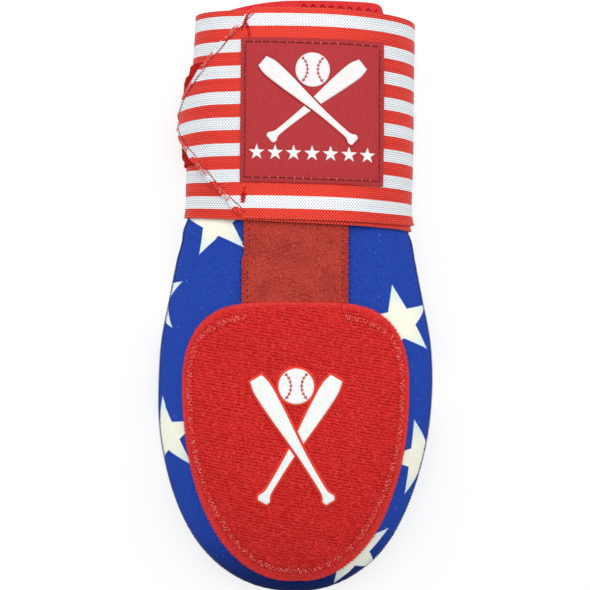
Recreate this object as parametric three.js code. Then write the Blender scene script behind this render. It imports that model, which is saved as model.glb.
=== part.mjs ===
import * as THREE from 'three';
import { mergeVertices } from 'three/addons/utils/BufferGeometryUtils.js';

// Baseball sliding mitt, lying on its back. Millimetres, +Z up, +Y towards the wrist,
// -Y towards the fingertips, X across the hand.

// Driving sizes
const GAP = 0.3;
const NEOPRENE = 3;
const TIP_Y = -147;
const RIM_Y = 146.8;
const NOSE_Y = -50;
const PANEL_END_Y = 52;

// Elastic strap: 4 inch striped elastic, wound from the back centre to its pointed end
const STRAP_WIDTH = 101.6;
const STRAP_THICKNESS = 1.6;
const STRAP_GAP = 0.4;
const STRAP_LAYER = STRAP_THICKNESS + STRAP_GAP;
const STRAP_START_TURN = 0.02;
const TAPER_START_X = -22.7;
const TAPER_SLOPE = 1.09;
const TIP_HALF_WIDTH = 2.4;
const TIP_LIFT = 1.4;
const STRAP_EDGE_LIFT = 0.35;
const STRAP_GRID = { rows: [0, 0.06, 0.12, 0.18, 0.3, 0.45, 0.62, 0.81, 1], along: 60, taperShare: 0.13 };
const ROUTE_TURN = 1.6;
const TURN_STEP = 0.001;

// Cloth pieces on the pouch and on the strap
const STRIP_WIDTH = 50.8;
const STRIP_THICKNESS = 1.5;
const STRIP_ENDS = { pad: -6, strap: 42.5 };
const STRIP_CENTRE_X = 0.5;
const LABEL = {
  width: 69, height: 69.5, thickness: 0.8, gap: 0.4, x: 8.3, y: 91.9, slope: 0.028, lean: 0.008,
};

// Hook tab: a thin backing with the thicker hook tape in its middle
const TAB = {
  width: 50, thickness: 1.6, backing: 0.8, y: 92.9, from: 0.655, to: 0.875,
  borderTop: 5.4, borderBottom: 3.4, stepWidth: 0.8, liftBelowTop: 9, liftAboveBottom: 25,
};

// Outline of the knit pad: rounded square at its top, egg shaped below
const PAD = {
  x: 0.4, widestY: -40, halfWidth: 55.7, topY: 0.2, bottomY: -137.9,
  topBend: 2.2, topCorner: 4, bottomBend: 2.2, edge: 1.5, middle: 2.6, gap: 0.4,
  endAngle: 86, edgeEasing: 4,
};

// Where cloth climbs over the cloth below it, each ramp from flat to full height.
// Sides are measured from the strip's middle and ends from the strip's end, in millimetres.
const PAD_OVER_STRIP = { side: [STRIP_WIDTH / 2 + 18, STRIP_WIDTH / 2 + 4], end: [-32, -8] };
const STRAP_OVER_STRIP = { side: [STRIP_WIDTH / 2 + 14, STRIP_WIDTH / 2 + 4], end: [13, 5], aboveZ: 30 };
const STRAP_OVER_SELF = [0.9, 0.99];
const STRAP_OVER_TAB = [1 + TAB.from - 0.06, 1 + TAB.from - 0.005];
const STRAP_TIP_OPENS = [1.68, 1.77];
const STRAP_OVER_BULGE = { end: [50, 42], height: [5, 10] };

// Outer skin of the pouch and cuff, a row for each section across the hand.
// centre and half give the width, seam the height of the side seam, top the crown.
const SECTIONS = [
  { y: -147, centre: -0.4, half: 76.5, seam: 16, top: 38.0 },
  { y: -125, centre: -0.9, half: 72.5, seam: 16, top: 38.0 },
  { y: -105, centre: -0.9, half: 69.9, seam: 16, top: 38.0 },
  { y: -85, centre: -0.8, half: 68.8, seam: 16, top: 38.0 },
  { y: -60, centre: -0.3, half: 69.2, seam: 16.5, top: 38.0 },
  { y: -40, centre: 0.2, half: 69.5, seam: 17, top: 38.0 },
  { y: -20, centre: 0.4, half: 68.1, seam: 17, top: 38.0 },
  { y: 1, centre: 0.4, half: 64.1, seam: 17.5, top: 38.2 },
  { y: 21, centre: 0.5, half: 60.1, seam: 18.5, top: 38.6 },
  { y: 30, centre: 1.0, half: 57.9, seam: 19.2, top: 39.0 },
  { y: 36, centre: 0.3, half: 56.3, seam: 19.8, top: 39.4 },
  { y: 43, centre: 0.8, half: 54.3, seam: 20.4, top: 39.8 },
  { y: 60, centre: 1.0, half: 54.1, seam: 21, top: 40.2 },
  { y: 92, centre: 2.2, half: 53.6, seam: 21, top: 40.2 },
  { y: 122, centre: 3.4, half: 52.9, seam: 21, top: 39.6 },
  { y: 146.8, centre: 4.2, half: 52.4, seam: 20.5, top: 38.6 },
];
const CROWN_FULLNESS = { pouch: 2.5, wrist: 2.7 };
const SOLE_FULLNESS = 3.4;
const SOLE_PRESS = 1.15;
const SOLE_LIFT = { height: 2 * STRAP_LAYER, ramp: [-20, 40] };
const WRIST_START_Y = 10;
const SOLE_NOSE_Y = -100;
const CROWN_NOSE_BEND = 2.4;

// Middle line of the strap, a row for each quarter turn round the wrist
const STRAP_PATH = [
  { turn: 0.0, y: 86.0 },
  { turn: 0.25, y: 85.8 },
  { turn: 0.5, y: 89.6 },
  { turn: 0.75, y: 92.7 },
  { turn: 1.0, y: 90.6 },
  { turn: 1.25, y: 88.4 },
  { turn: 1.5, y: 91.0 },
  { turn: 1.62, y: 91.4 },
  { turn: 1.8, y: 89.4 },
];

// Rim of the cuff: it stands past the strap at the front and curves down at both sides
const CUFF_RIM = { side: 141, left: -43, leftFull: 0, rightFull: 30, right: 44, rightBend: 7 };

// Grid counts of the bent pieces, across by along
const GRIDS = {
  panel: [22, 24], cuff: [32, 6], strip: [10, 8], pad: [14, 18], label: [12, 7], tab: [12, 14],
};

// Soft step from 0 at the start of a range to 1 at its end
function ramp(value, [start, end]) {
  return THREE.MathUtils.smoothstep((value - start) / (end - start), 0, 1);
}

// Smooth curve through one column of a table, read at one place of its key column
function read(table, key, name, place) {
  const last = table.length - 1;
  let low = 0;
  while (low < last - 1 && table[low + 1][key] < place) low += 1;
  const rows = [Math.max(low - 1, 0), low, low + 1, Math.min(low + 2, last)].map((i) => table[i]);
  const span = rows[2][key] - rows[1][key];
  const t = THREE.MathUtils.clamp((place - rows[1][key]) / span, 0, 1);
  const slope = (a, b) => (b[name] - a[name]) / (b[key] - a[key]) * span;
  const startSlope = slope(rows[0], rows[2]);
  const endSlope = slope(rows[1], rows[3]);
  const t2 = t * t;
  const t3 = t2 * t;
  return (2 * t3 - 3 * t2 + 1) * rows[1][name] + (t3 - 2 * t2 + t) * startSlope
    + (3 * t2 - 2 * t3) * rows[2][name] + (t3 - t2) * endSlope;
}

// Sizes of the section at y, with the rounded fingertip end worked in
function section(y) {
  const nose = THREE.MathUtils.clamp((NOSE_Y - y) / (NOSE_Y - TIP_Y), 0, 1);
  const soleNose = THREE.MathUtils.clamp((SOLE_NOSE_Y - y) / (SOLE_NOSE_Y - TIP_Y), 0, 1);
  const seam = read(SECTIONS, 'y', 'seam', y);
  const drop = (seam - SOLE_LIFT.height * ramp(y, SOLE_LIFT.ramp)) * Math.sqrt(1 - soleNose ** 2);
  const wrist = ramp(y, [WRIST_START_Y, PANEL_END_Y]);
  return {
    centre: read(SECTIONS, 'y', 'centre', y),
    half: read(SECTIONS, 'y', 'half', y) * Math.sqrt(1 - nose ** 2),
    seam,
    rise: (read(SECTIONS, 'y', 'top', y) - seam) * Math.sqrt(1 - nose ** CROWN_NOSE_BEND),
    drop,
    fullness: THREE.MathUtils.lerp(CROWN_FULLNESS.pouch, CROWN_FULLNESS.wrist, wrist),
  };
}

// Height of the outer skin above its seam at a share of the half width from -1 to 1
function crown(cut, share) {
  return cut.rise * Math.sqrt(Math.max(0, 1 - Math.abs(share) ** cut.fullness));
}

// Depth of the outer skin below its seam, pressed flat where the mitt rests
function sole(cut, share) {
  const round = Math.sqrt(Math.max(0, 1 - Math.abs(share) ** SOLE_FULLNESS));
  return Math.min(cut.drop, SOLE_PRESS * cut.drop * round);
}

// Point of the outer skin: turn 0 is the back centre, 0.25 right, 0.5 crown, 0.75 left
function skin(turn, y) {
  const cut = section(y);
  const angle = 2 * Math.PI * (turn - 0.25);
  const share = Math.cos(angle);
  const front = Math.sin(angle) >= 0;
  const z = front ? cut.seam + crown(cut, share) : cut.seam - sole(cut, share);
  return new THREE.Vector3(cut.centre + cut.half * share, y, z);
}

// Outward direction of the skin there
function skinNormal(turn, y) {
  const stepTurn = 1e-4;
  const stepY = 0.02;
  const safeY = THREE.MathUtils.clamp(y, TIP_Y + 2 * stepY, RIM_Y);
  const round = skin(turn + stepTurn, safeY).sub(skin(turn - stepTurn, safeY));
  const along = skin(turn, safeY + stepY).sub(skin(turn, safeY - stepY));
  return along.cross(round).normalize();
}

function offSkin(turn, y, distance) {
  return skin(turn, y).addScaledVector(skinNormal(turn, y), distance);
}

// Turn of the crown at which a face at some distance off the skin crosses a given x
function turnAtX(x, y, distance) {
  let right = 0.25;
  let left = 0.75;
  for (let i = 0; i < 24; i += 1) {
    const middle = (right + left) / 2;
    if (offSkin(middle, y, distance).x > x) right = middle;
    else left = middle;
  }
  return (right + left) / 2;
}

// Length along the skin at y between two turns
function wrapLength(fromTurn, toTurn, y) {
  const steps = 60;
  let length = 0;
  for (let i = 0; i < steps; i += 1) {
    const a = THREE.MathUtils.lerp(fromTurn, toTurn, i / steps);
    const b = THREE.MathUtils.lerp(fromTurn, toTurn, (i + 1) / steps);
    length += skin(a, y).distanceTo(skin(b, y));
  }
  return length;
}

// A flat slab bent to shape: bend(u, v, depth) gives the place of each of its points,
// with u, v and depth from 0 to 1, depth 1 on the outer face
function bentSlab([across, along], bend) {
  const slab = new THREE.BoxGeometry(1, 1, 1, across, along, 1);
  return moved(slab, (p) => bend(p.x + 0.5, p.y + 0.5, p.z + 0.5));
}

// A closed sleeve bent to shape: bend(turn, v, depth), depth 1 on the outer face
function bentSleeve([around, along], bend) {
  const profile = [];
  for (let i = 0; i <= along; i += 1) profile.push(new THREE.Vector2(2, i / along));
  for (let i = along; i >= 0; i -= 1) profile.push(new THREE.Vector2(1, i / along));
  profile.push(profile[0].clone());
  const ring = new THREE.LatheGeometry(profile, around);
  return moved(ring, (p) => {
    const turn = -Math.atan2(p.x, p.z) / (2 * Math.PI);
    return bend(turn, p.y, Math.round(Math.hypot(p.x, p.z)) - 1);
  });
}

function moved(geometry, place) {
  const points = geometry.attributes.position;
  const point = new THREE.Vector3();
  for (let i = 0; i < points.count; i += 1) {
    point.fromBufferAttribute(points, i);
    const target = place(point);
    points.setXYZ(i, target.x, target.y, target.z);
  }
  geometry.deleteAttribute('normal');
  geometry.deleteAttribute('uv');
  const merged = mergeVertices(geometry, 1e-4);
  merged.computeVertexNormals();
  return merged;
}

// Place along the pouch for v from 0 at the fingertip to 1 at the wrist end,
// closer together round the nose
function pouchY(v) {
  const noseShare = 0.45;
  const tipTurn = THREE.MathUtils.degToRad(88.3);
  if (v >= noseShare) {
    return THREE.MathUtils.lerp(NOSE_Y, PANEL_END_Y, (v - noseShare) / (1 - noseShare));
  }
  return NOSE_Y + (TIP_Y - NOSE_Y) * Math.sin(tipTurn * (1 - v / noseShare));
}

// Half of the pouch: the front from the right seam over the crown to the left one,
// the back from the left seam under the hand to the right one
function pouchPanel(startTurn, seamGap) {
  return bentSlab(GRIDS.panel, (u, v, depth) => {
    const point = offSkin(startTurn + 0.5 * (1 - u), pouchY(v), -NEOPRENE * (1 - depth));
    point.z += seamGap * (1 - Math.sin(Math.PI * u));
    return point;
  });
}

function cuffSleeve() {
  return bentSleeve(GRIDS.cuff, (turn, v, depth) => {
    const { x } = skin(turn, RIM_Y);
    const fromLeft = THREE.MathUtils.inverseLerp(CUFF_RIM.left, CUFF_RIM.leftFull, x);
    const pastRight = THREE.MathUtils.inverseLerp(CUFF_RIM.rightFull, CUFF_RIM.right, x);
    const left = Math.sin(Math.PI / 2 * THREE.MathUtils.clamp(fromLeft, 0, 1));
    const right = Math.sqrt(1 - THREE.MathUtils.clamp(pastRight, 0, 1) ** CUFF_RIM.rightBend);
    const rim = THREE.MathUtils.lerp(CUFF_RIM.side, RIM_Y, left * right);
    const y = THREE.MathUtils.lerp(PANEL_END_Y + GAP, rim, v);
    return offSkin(turn, y, -NEOPRENE * (1 - depth));
  });
}

// Point at some distance off the front skin, at a given x
function onFront(x, y, distance) {
  return offSkin(turnAtX(x, y, distance), y, distance);
}

function centreStrip() {
  return bentSlab(GRIDS.strip, (u, v, depth) => {
    const x = STRIP_CENTRE_X + STRIP_WIDTH * (u - 0.5);
    const y = THREE.MathUtils.lerp(STRIP_ENDS.pad, STRIP_ENDS.strap, v);
    return onFront(x, y, GAP + STRIP_THICKNESS * depth);
  });
}

// Half width of the knit pad's outline at y
function padHalfWidth(y) {
  if (y > PAD.widestY) {
    const t = (y - PAD.widestY) / (PAD.topY - PAD.widestY);
    return PAD.halfWidth * Math.max(0, 1 - t ** PAD.topBend) ** (1 / PAD.topCorner);
  }
  const t = (PAD.widestY - y) / (PAD.widestY - PAD.bottomY);
  return PAD.halfWidth * Math.max(0, 1 - t ** PAD.bottomBend) ** (1 / PAD.bottomBend);
}

// The pad lies on the panel and steps up over the end of the centre strip
function slidePad() {
  const endAngle = THREE.MathUtils.degToRad(PAD.endAngle);
  return bentSlab(GRIDS.pad, (u, v, depth) => {
    const angle = THREE.MathUtils.lerp(-endAngle, endAngle, v);
    const reach = angle > 0 ? PAD.topY - PAD.widestY : PAD.widestY - PAD.bottomY;
    const y = PAD.widestY + reach * Math.sin(angle);
    const x = PAD.x + padHalfWidth(y) * (2 * u - 1);
    const overStrip = ramp(Math.abs(x - STRIP_CENTRE_X), PAD_OVER_STRIP.side)
      * ramp(y - STRIP_ENDS.pad, PAD_OVER_STRIP.end);
    const inside = Math.max(Math.abs(2 * u - 1), Math.abs(angle) / endAngle);
    const thickness = THREE.MathUtils.lerp(PAD.middle, PAD.edge, inside ** PAD.edgeEasing);
    return onFront(x, y, PAD.gap + (STRIP_THICKNESS + GAP) * overStrip + thickness * depth);
  });
}

// Distance of the strap's inner face from the cuff: the second turn rides on the first,
// the pointed end on the hook tab, and the lower edge on the centre strip
function strapDistance(turn, point) {
  const overStrip = point.z > STRAP_OVER_STRIP.aboveZ
    ? ramp(Math.abs(point.x - STRIP_CENTRE_X), STRAP_OVER_STRIP.side)
      * ramp(point.y - STRIP_ENDS.strap, STRAP_OVER_STRIP.end)
    : 0;
  const overBulge = ramp(point.y, STRAP_OVER_BULGE.end) * ramp(point.z, STRAP_OVER_BULGE.height);
  return STRAP_GAP + STRAP_EDGE_LIFT * overBulge + STRAP_LAYER * ramp(turn, STRAP_OVER_SELF)
    + (TAB.thickness + STRAP_GAP) * ramp(turn, STRAP_OVER_TAB)
    + TIP_LIFT * ramp(turn, STRAP_TIP_OPENS) + (STRIP_THICKNESS + GAP) * overStrip;
}

function wrapStrap() {
  const middle = read(STRAP_PATH, 'turn', 'y', ROUTE_TURN);
  const taperStart = 1 + turnAtX(TAPER_START_X, middle, 2 * STRAP_LAYER);
  const taperLength = (STRAP_WIDTH / 2 - TIP_HALF_WIDTH) / TAPER_SLOPE;
  let endTurn = taperStart;
  while (wrapLength(taperStart, endTurn, middle) < taperLength) endTurn += TURN_STEP;
  const { rows, along, taperShare } = STRAP_GRID;
  return bentSlab([rows.length - 1, along], (u, v, depth) => {
    const turn = v < 1 - taperShare
      ? THREE.MathUtils.lerp(STRAP_START_TURN, taperStart, v / (1 - taperShare))
      : THREE.MathUtils.lerp(taperStart, endTurn, (v - 1 + taperShare) / taperShare);
    const past = turn > taperStart ? wrapLength(taperStart, turn, middle) : 0;
    const half = STRAP_WIDTH / 2 - TAPER_SLOPE * past;
    const row = rows[Math.round(u * (rows.length - 1))];
    const y = read(STRAP_PATH, 'turn', 'y', turn) + half * (2 * row - 1);
    const distance = strapDistance(turn, skin(turn, y));
    return offSkin(turn, y, distance + STRAP_THICKNESS * depth);
  });
}

// The label is a square that follows the slope of the strap's outer turn
function label() {
  return bentSlab(GRIDS.label, (u, v, depth) => {
    const across = LABEL.width * (u - 0.5);
    const along = LABEL.height * (v - 0.5);
    const x = LABEL.x + across + LABEL.lean * along;
    const y = LABEL.y + along - LABEL.slope * across;
    const turn = 1 + turnAtX(x, y, 2 * STRAP_LAYER);
    const overStrap = strapDistance(turn, skin(turn, y)) + STRAP_THICKNESS;
    return offSkin(turn, y, overStrap + LABEL.gap + LABEL.thickness * depth);
  });
}

// The tab bulges away from the strap's first turn where the pointed end stands off it
function hookTab() {
  return bentSlab(GRIDS.tab, (u, v, depth) => {
    const turn = THREE.MathUtils.lerp(TAB.from, TAB.to, v);
    const belowTop = TAB.width * (1 - u);
    const aboveBottom = TAB.width * u;
    const tape = ramp(belowTop, [TAB.borderTop - TAB.stepWidth, TAB.borderTop])
      * ramp(aboveBottom, [TAB.borderBottom - TAB.stepWidth, TAB.borderBottom]);
    const bulge = ramp(belowTop, [0, TAB.liftBelowTop]) * ramp(aboveBottom, [0, TAB.liftAboveBottom])
      * ramp(turn + 1, STRAP_TIP_OPENS);
    const thickness = THREE.MathUtils.lerp(TAB.backing, TAB.thickness, tape);
    const y = TAB.y + TAB.width * (u - 0.5);
    return offSkin(turn, y, STRAP_GAP + STRAP_LAYER + TIP_LIFT * bulge + thickness * depth);
  });
}

const COLOURS = {
  blueNeoprene: { color: 0x2b45a8, roughness: 0.75, metalness: 0 },
  darkRedSuede: { color: 0xa93830, roughness: 0.9, metalness: 0 },
  redKnit: { color: 0xc52826, roughness: 0.95, metalness: 0 },
  redNeoprene: { color: 0xd92d30, roughness: 0.8, metalness: 0 },
  stripedElastic: { color: 0xe9504a, roughness: 0.85, metalness: 0 },
  wovenLabel: { color: 0xb2312f, roughness: 0.7, metalness: 0 },
  hookTape: { color: 0x9c1a18, roughness: 0.95, metalness: 0 },
};

function piece(name, geometry, finish) {
  const mesh = new THREE.Mesh(geometry, new THREE.MeshStandardMaterial(COLOURS[finish]));
  mesh.name = name;
  return mesh;
}

const pouch = new THREE.Group();
pouch.add(piece('front_panel', pouchPanel(0.25, GAP), 'blueNeoprene'));
pouch.add(piece('back_panel', pouchPanel(0.75, 0), 'blueNeoprene'));
pouch.add(piece('centre_strip', centreStrip(), 'darkRedSuede'));
pouch.add(piece('slide_pad', slidePad(), 'redKnit'));

const wrist = new THREE.Group();
wrist.add(piece('cuff', cuffSleeve(), 'redNeoprene'));
wrist.add(piece('wrap_strap', wrapStrap(), 'stripedElastic'));
wrist.add(piece('label', label(), 'wovenLabel'));
wrist.add(piece('hook_tab', hookTab(), 'hookTape'));

const mitt = new THREE.Group();
mitt.add(pouch, wrist);

export default mitt;
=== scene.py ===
# %% [markdown]
# # A baseball sliding mitt
# A sliding mitt is a soft pouch that keeps a runner's fingers safe. Its body is neoprene with a
# printed jersey face. A knit pad and a suede strip are sewn on the front, and a wide striped
# elastic strap is wound round a red cuff at the wrist. This lesson takes the plain model of the
# mitt and gives each cloth its real surface, seam by seam.

# %% Load the plain model
import math
import random

import bmesh
import bpy
import numpy as np
from mathutils import Matrix, Vector


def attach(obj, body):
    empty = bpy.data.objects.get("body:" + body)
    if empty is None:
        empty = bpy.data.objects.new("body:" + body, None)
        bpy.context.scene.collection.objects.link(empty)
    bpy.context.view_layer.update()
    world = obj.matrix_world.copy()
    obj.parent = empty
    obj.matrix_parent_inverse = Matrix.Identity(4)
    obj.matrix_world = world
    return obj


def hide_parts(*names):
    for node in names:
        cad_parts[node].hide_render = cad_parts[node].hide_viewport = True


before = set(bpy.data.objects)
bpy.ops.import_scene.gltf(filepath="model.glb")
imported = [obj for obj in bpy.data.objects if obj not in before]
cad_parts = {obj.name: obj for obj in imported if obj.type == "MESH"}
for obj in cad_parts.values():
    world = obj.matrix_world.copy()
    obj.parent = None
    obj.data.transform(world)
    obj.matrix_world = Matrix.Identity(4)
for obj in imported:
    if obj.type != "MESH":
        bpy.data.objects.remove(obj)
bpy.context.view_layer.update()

MM = 0.001

# %% [markdown]
# ## Camera and picture frame
# The mitt lies on its back and is seen from straight above. The camera's height and lens are
# found once, from how much the raised middle of the mitt grows in the picture compared with its
# outline on the table. The picture is a square of 590 pixels.

# %% Camera
PICTURE_WIDTH = 590
FOCAL_PIXELS = 917
CAMERA_HEIGHT = 484
VIEW_CENTRE_Y = 3.65
SENSOR_WIDTH = 36


def make_camera():
    data = bpy.data.cameras.new("camera")
    data.sensor_width = SENSOR_WIDTH
    data.lens = SENSOR_WIDTH * FOCAL_PIXELS / PICTURE_WIDTH
    camera = bpy.data.objects.new("camera", data)
    camera.location = (0, VIEW_CENTRE_Y * MM, CAMERA_HEIGHT * MM)
    bpy.context.scene.collection.objects.link(camera)
    bpy.context.scene.camera = camera
    return camera


camera = make_camera()
print("camera lens", round(camera.data.lens, 1), "mm")

# %% [markdown]
# ## The shape of the mitt
# Everything on a mitt lies on one skin, the outer face of the pouch and cuff. The skin is made
# like a boat's hull, from a short table of sections across the hand. A place on it is given by a
# turn round the hand, 0 at the middle of the back, 0.25 at the right seam, 0.5 on the crown and
# 0.75 at the left seam, and by y along the hand. Cloth is then laid at a height over the skin.

# %% Sections across the hand
SECTION_COLUMNS = ("y", "centre", "half", "seam", "top")
SECTION_ROWS = (
    (-147, -0.4, 76.5, 16.0, 38.0),
    (-125, -0.9, 72.5, 16.0, 38.0),
    (-105, -0.9, 69.9, 16.0, 38.0),
    (-85, -0.8, 68.8, 16.0, 38.0),
    (-60, -0.3, 69.2, 16.5, 38.0),
    (-40, 0.2, 69.5, 17.0, 38.0),
    (-20, 0.4, 68.1, 17.0, 38.0),
    (1, 0.4, 64.1, 17.5, 38.2),
    (21, 0.5, 60.1, 18.5, 38.6),
    (30, 1.0, 57.9, 19.2, 39.0),
    (36, 0.3, 56.3, 19.8, 39.4),
    (43, 0.8, 54.3, 20.4, 39.8),
    (60, 1.0, 54.1, 21.0, 40.2),
    (92, 2.2, 53.6, 21.0, 40.2),
    (122, 3.4, 52.9, 21.0, 39.6),
    (146.8, 4.2, 52.4, 20.5, 38.6),
)
TIP_Y = SECTION_ROWS[0][0]
RIM_Y = SECTION_ROWS[-1][0]
NOSE_Y = -50
PANEL_END_Y = 52
SOLE_NOSE_Y = -100
POUCH_FULLNESS = 2.5
WRIST_FULLNESS = 2.7
WRIST_START_Y = 10
SOLE_FULLNESS = 3.4
SOLE_PRESS = 1.15
SOLE_LIFT = (-20, 40)
NOSE_BEND = 2.4


def named_columns(names, rows):
    return {name: np.array(column, float) for name, column in zip(names, zip(*rows))}


def read_table(table, key, name, place):
    """Smooth curve through one column of a table, read at places of its key column."""
    keys, values = table[key], table[name]
    place = np.asarray(place, float)
    low = np.clip(np.searchsorted(keys, place) - 1, 0, len(keys) - 2)
    before, after = np.maximum(low - 1, 0), np.minimum(low + 2, len(keys) - 1)
    span = keys[low + 1] - keys[low]
    t = np.clip((place - keys[low]) / span, 0, 1)
    slope_in = (values[low + 1] - values[before]) / (keys[low + 1] - keys[before]) * span
    slope_out = (values[after] - values[low]) / (keys[after] - keys[low]) * span
    start = (2 * t**3 - 3 * t**2 + 1) * values[low] + (t**3 - 2 * t**2 + t) * slope_in
    return start + (3 * t**2 - 2 * t**3) * values[low + 1] + (t**3 - t**2) * slope_out


def ramp(value, ends):
    """Soft step from 0 at the first end to 1 at the second."""
    share = np.clip((value - ends[0]) / (ends[1] - ends[0]), 0, 1)
    return share * share * (3 - 2 * share)


SECTIONS = named_columns(SECTION_COLUMNS, SECTION_ROWS)

# %% [markdown]
# Across the hand each section is a superellipse, fuller than a circle, and its lower half is
# pressed flat by the table. Towards the fingertips the sections shrink as the rounded nose
# closes. Hand-made cloth is never quite even, so a ripple of a quarter of a millimetre is added
# to the front. Every layer lies on the same ripple, so none of them pokes through another.

# %% Skin of the mitt
STRAP_THICKNESS = 1.6
STRAP_GAP = 0.4
STRAP_LAYER = STRAP_THICKNESS + STRAP_GAP
RIPPLE = 0.22
RIPPLE_Z = (10, 22)
HALVINGS = 24


def skin(turn, y):
    turn, y = np.broadcast_arrays(np.asarray(turn, float), np.asarray(y, float))
    nose = np.clip((NOSE_Y - y) / (NOSE_Y - TIP_Y), 0, 1)
    sole_nose = np.clip((SOLE_NOSE_Y - y) / (SOLE_NOSE_Y - TIP_Y), 0, 1)
    seam = read_table(SECTIONS, "y", "seam", y)
    drop = (seam - 2 * STRAP_LAYER * ramp(y, SOLE_LIFT)) * np.sqrt(1 - sole_nose**2)
    half = read_table(SECTIONS, "y", "half", y) * np.sqrt(1 - nose**2)
    rise = (read_table(SECTIONS, "y", "top", y) - seam) * np.sqrt(1 - nose**NOSE_BEND)
    wrist = ramp(y, (WRIST_START_Y, PANEL_END_Y))
    fullness = POUCH_FULLNESS + (WRIST_FULLNESS - POUCH_FULLNESS) * wrist
    angle = 2 * np.pi * (turn - 0.25)
    share = np.cos(angle)
    crown = rise * np.sqrt(np.maximum(0, 1 - np.abs(share) ** fullness))
    bowl = SOLE_PRESS * drop * np.sqrt(np.maximum(0, 1 - np.abs(share) ** SOLE_FULLNESS))
    z = np.where(np.sin(angle) >= 0, seam + crown, seam - np.minimum(drop, bowl))
    return np.stack([read_table(SECTIONS, "y", "centre", y) + half * share, y, z], axis=-1)


def skin_normal(turn, y):
    turn_step, y_step = 1e-4, 0.02
    y = np.clip(y, TIP_Y + 2 * y_step, RIM_Y)
    around = skin(turn + turn_step, y) - skin(turn - turn_step, y)
    along = skin(turn, y + y_step) - skin(turn, y - y_step)
    normal = np.cross(along, around)
    return normal / np.linalg.norm(normal, axis=-1, keepdims=True)


def ripple(point):
    """Slow unevenness of hand-sewn cloth, none of it where the mitt rests."""
    x, y, z = point[..., 0], point[..., 1], point[..., 2]
    waves = np.sin(x / 13 + 1.3) * np.sin(y / 19 + 0.7) + 0.5 * np.sin(x / 7.1 + y / 11.3)
    return RIPPLE * waves * ramp(z, RIPPLE_Z)


def lay(turn, y, height):
    """Points of cloth at a height over the skin, in millimetres."""
    turn, y, height = np.broadcast_arrays(*(np.asarray(a, float) for a in (turn, y, height)))
    base = skin(turn, y)
    return base + skin_normal(turn, y) * (height + ripple(base))[..., None]


def turn_at_x(x, y, height):
    """Turn of the crown at which cloth at a height over the skin crosses a given x.

    It is found by halving the stretch between the two seams again and again."""
    x, y, height = np.broadcast_arrays(*(np.asarray(a, float) for a in (x, y, height)))
    right, left = np.full(x.shape, 0.25), np.full(x.shape, 0.75)
    for _ in range(HALVINGS):
        middle = (right + left) / 2
        too_far_right = (skin(middle, y) + skin_normal(middle, y) * height[..., None])[..., 0] > x
        right = np.where(too_far_right, middle, right)
        left = np.where(too_far_right, left, middle)
    return (right + left) / 2


def lay_on_front(x, y, height):
    return lay(turn_at_x(x, y, height), y, height)


print("height of the crown over the pad", np.round(skin(0.5, -40)[2], 1), "mm")

# %% [markdown]
# ## Cloth from a grid
# A piece of cloth is a flat sheet that has been bent. So each one starts as a grid operator's
# flat sheet, gets its thickness by extruding all its faces, and only then is every point moved
# to its place on the mitt. The sheet keeps a map in millimetres, so that a weave drawn on that
# map follows the cloth round every bend without stretching.

# %% Bent cloth
collection = bpy.context.scene.collection


def new_object(name, mesh, slot, *nodes):
    """A finished piece: it rides with the mitt and may stand for plain nodes."""
    piece = bpy.data.objects.new(name, mesh)
    collection.objects.link(piece)
    mesh.polygons.foreach_set("use_smooth", [True] * len(mesh.polygons))
    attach(piece, "root")
    if nodes:
        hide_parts(*nodes)
    return piece


def read_points(mesh):
    points = np.empty(len(mesh.vertices) * 3)
    mesh.vertices.foreach_get("co", points)
    return points.reshape(-1, 3)


def write_points(mesh, points_mm):
    mesh.vertices.foreach_set("co", (np.asarray(points_mm) * MM).ravel())
    mesh.update()


def write_map(mesh, name, values):
    """Give each corner of each face the pair of values of its vertex."""
    layer = mesh.uv_layers.new(name=name)
    corners = np.empty(len(mesh.loops), int)
    mesh.loops.foreach_get("vertex_index", corners)
    layer.data.foreach_set("uv", np.asarray(values, np.float32)[corners].ravel())


def mesh_from(bm, name):
    mesh = bpy.data.meshes.new(name)
    bm.to_mesh(mesh)
    bm.free()
    return mesh


def flat_slab(name, columns, rows):
    """Two-sided flat sheet from 0 to 1 in x and y: z 0 is its inner face, z 1 its outer one."""
    bm = bmesh.new()
    bmesh.ops.create_grid(bm, x_segments=columns, y_segments=rows, size=0.5)
    bmesh.ops.translate(bm, vec=(0.5, 0.5, 0), verts=bm.verts)
    grown = bmesh.ops.extrude_face_region(bm, geom=bm.faces[:], use_keep_orig=True)
    outer = [part for part in grown["geom"] if isinstance(part, bmesh.types.BMVert)]
    bmesh.ops.translate(bm, vec=(0, 0, 1), verts=outer)
    bmesh.ops.recalc_face_normals(bm, faces=bm.faces)
    return mesh_from(bm, name)


def lengths_along(points):
    """Length from the first point of a line to each of its points."""
    return np.cumsum(np.linalg.norm(np.diff(points, axis=0, prepend=points[:1]), axis=-1), axis=0)


def cloth_lengths(u, v, points, columns, rows):
    """Lengths across and along the cloth at each point, measured on the bent outer face."""
    i = np.rint(u * columns).astype(int)
    j = np.rint(v * rows).astype(int)
    face = np.zeros((columns + 1, rows + 1, 3))
    face[i, j] = points
    across = lengths_along(face)
    across -= across[columns // 2]
    along = lengths_along(face[columns // 2])
    return np.stack([across[i, j], along[j]], axis=1)


def bent_cloth(name, columns, rows, place, slot, *nodes, cloth_map=None):
    """Sheet bent by place(u, v, depth), with a map in millimetres called cloth."""
    mesh = flat_slab(name, columns, rows)
    flat = read_points(mesh)
    u, v, depth = flat.T
    write_points(mesh, place(u, v, depth))
    outer_face = place(u, v, np.ones_like(u))
    if cloth_map is None:
        lengths = cloth_lengths(u, v, outer_face, columns, rows)
    else:
        lengths = cloth_map(u, v)
    write_map(mesh, "cloth", lengths)
    piece = new_object(name, mesh, slot, *nodes)
    print(name, len(mesh.polygons), "faces")
    return piece, flat


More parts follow.
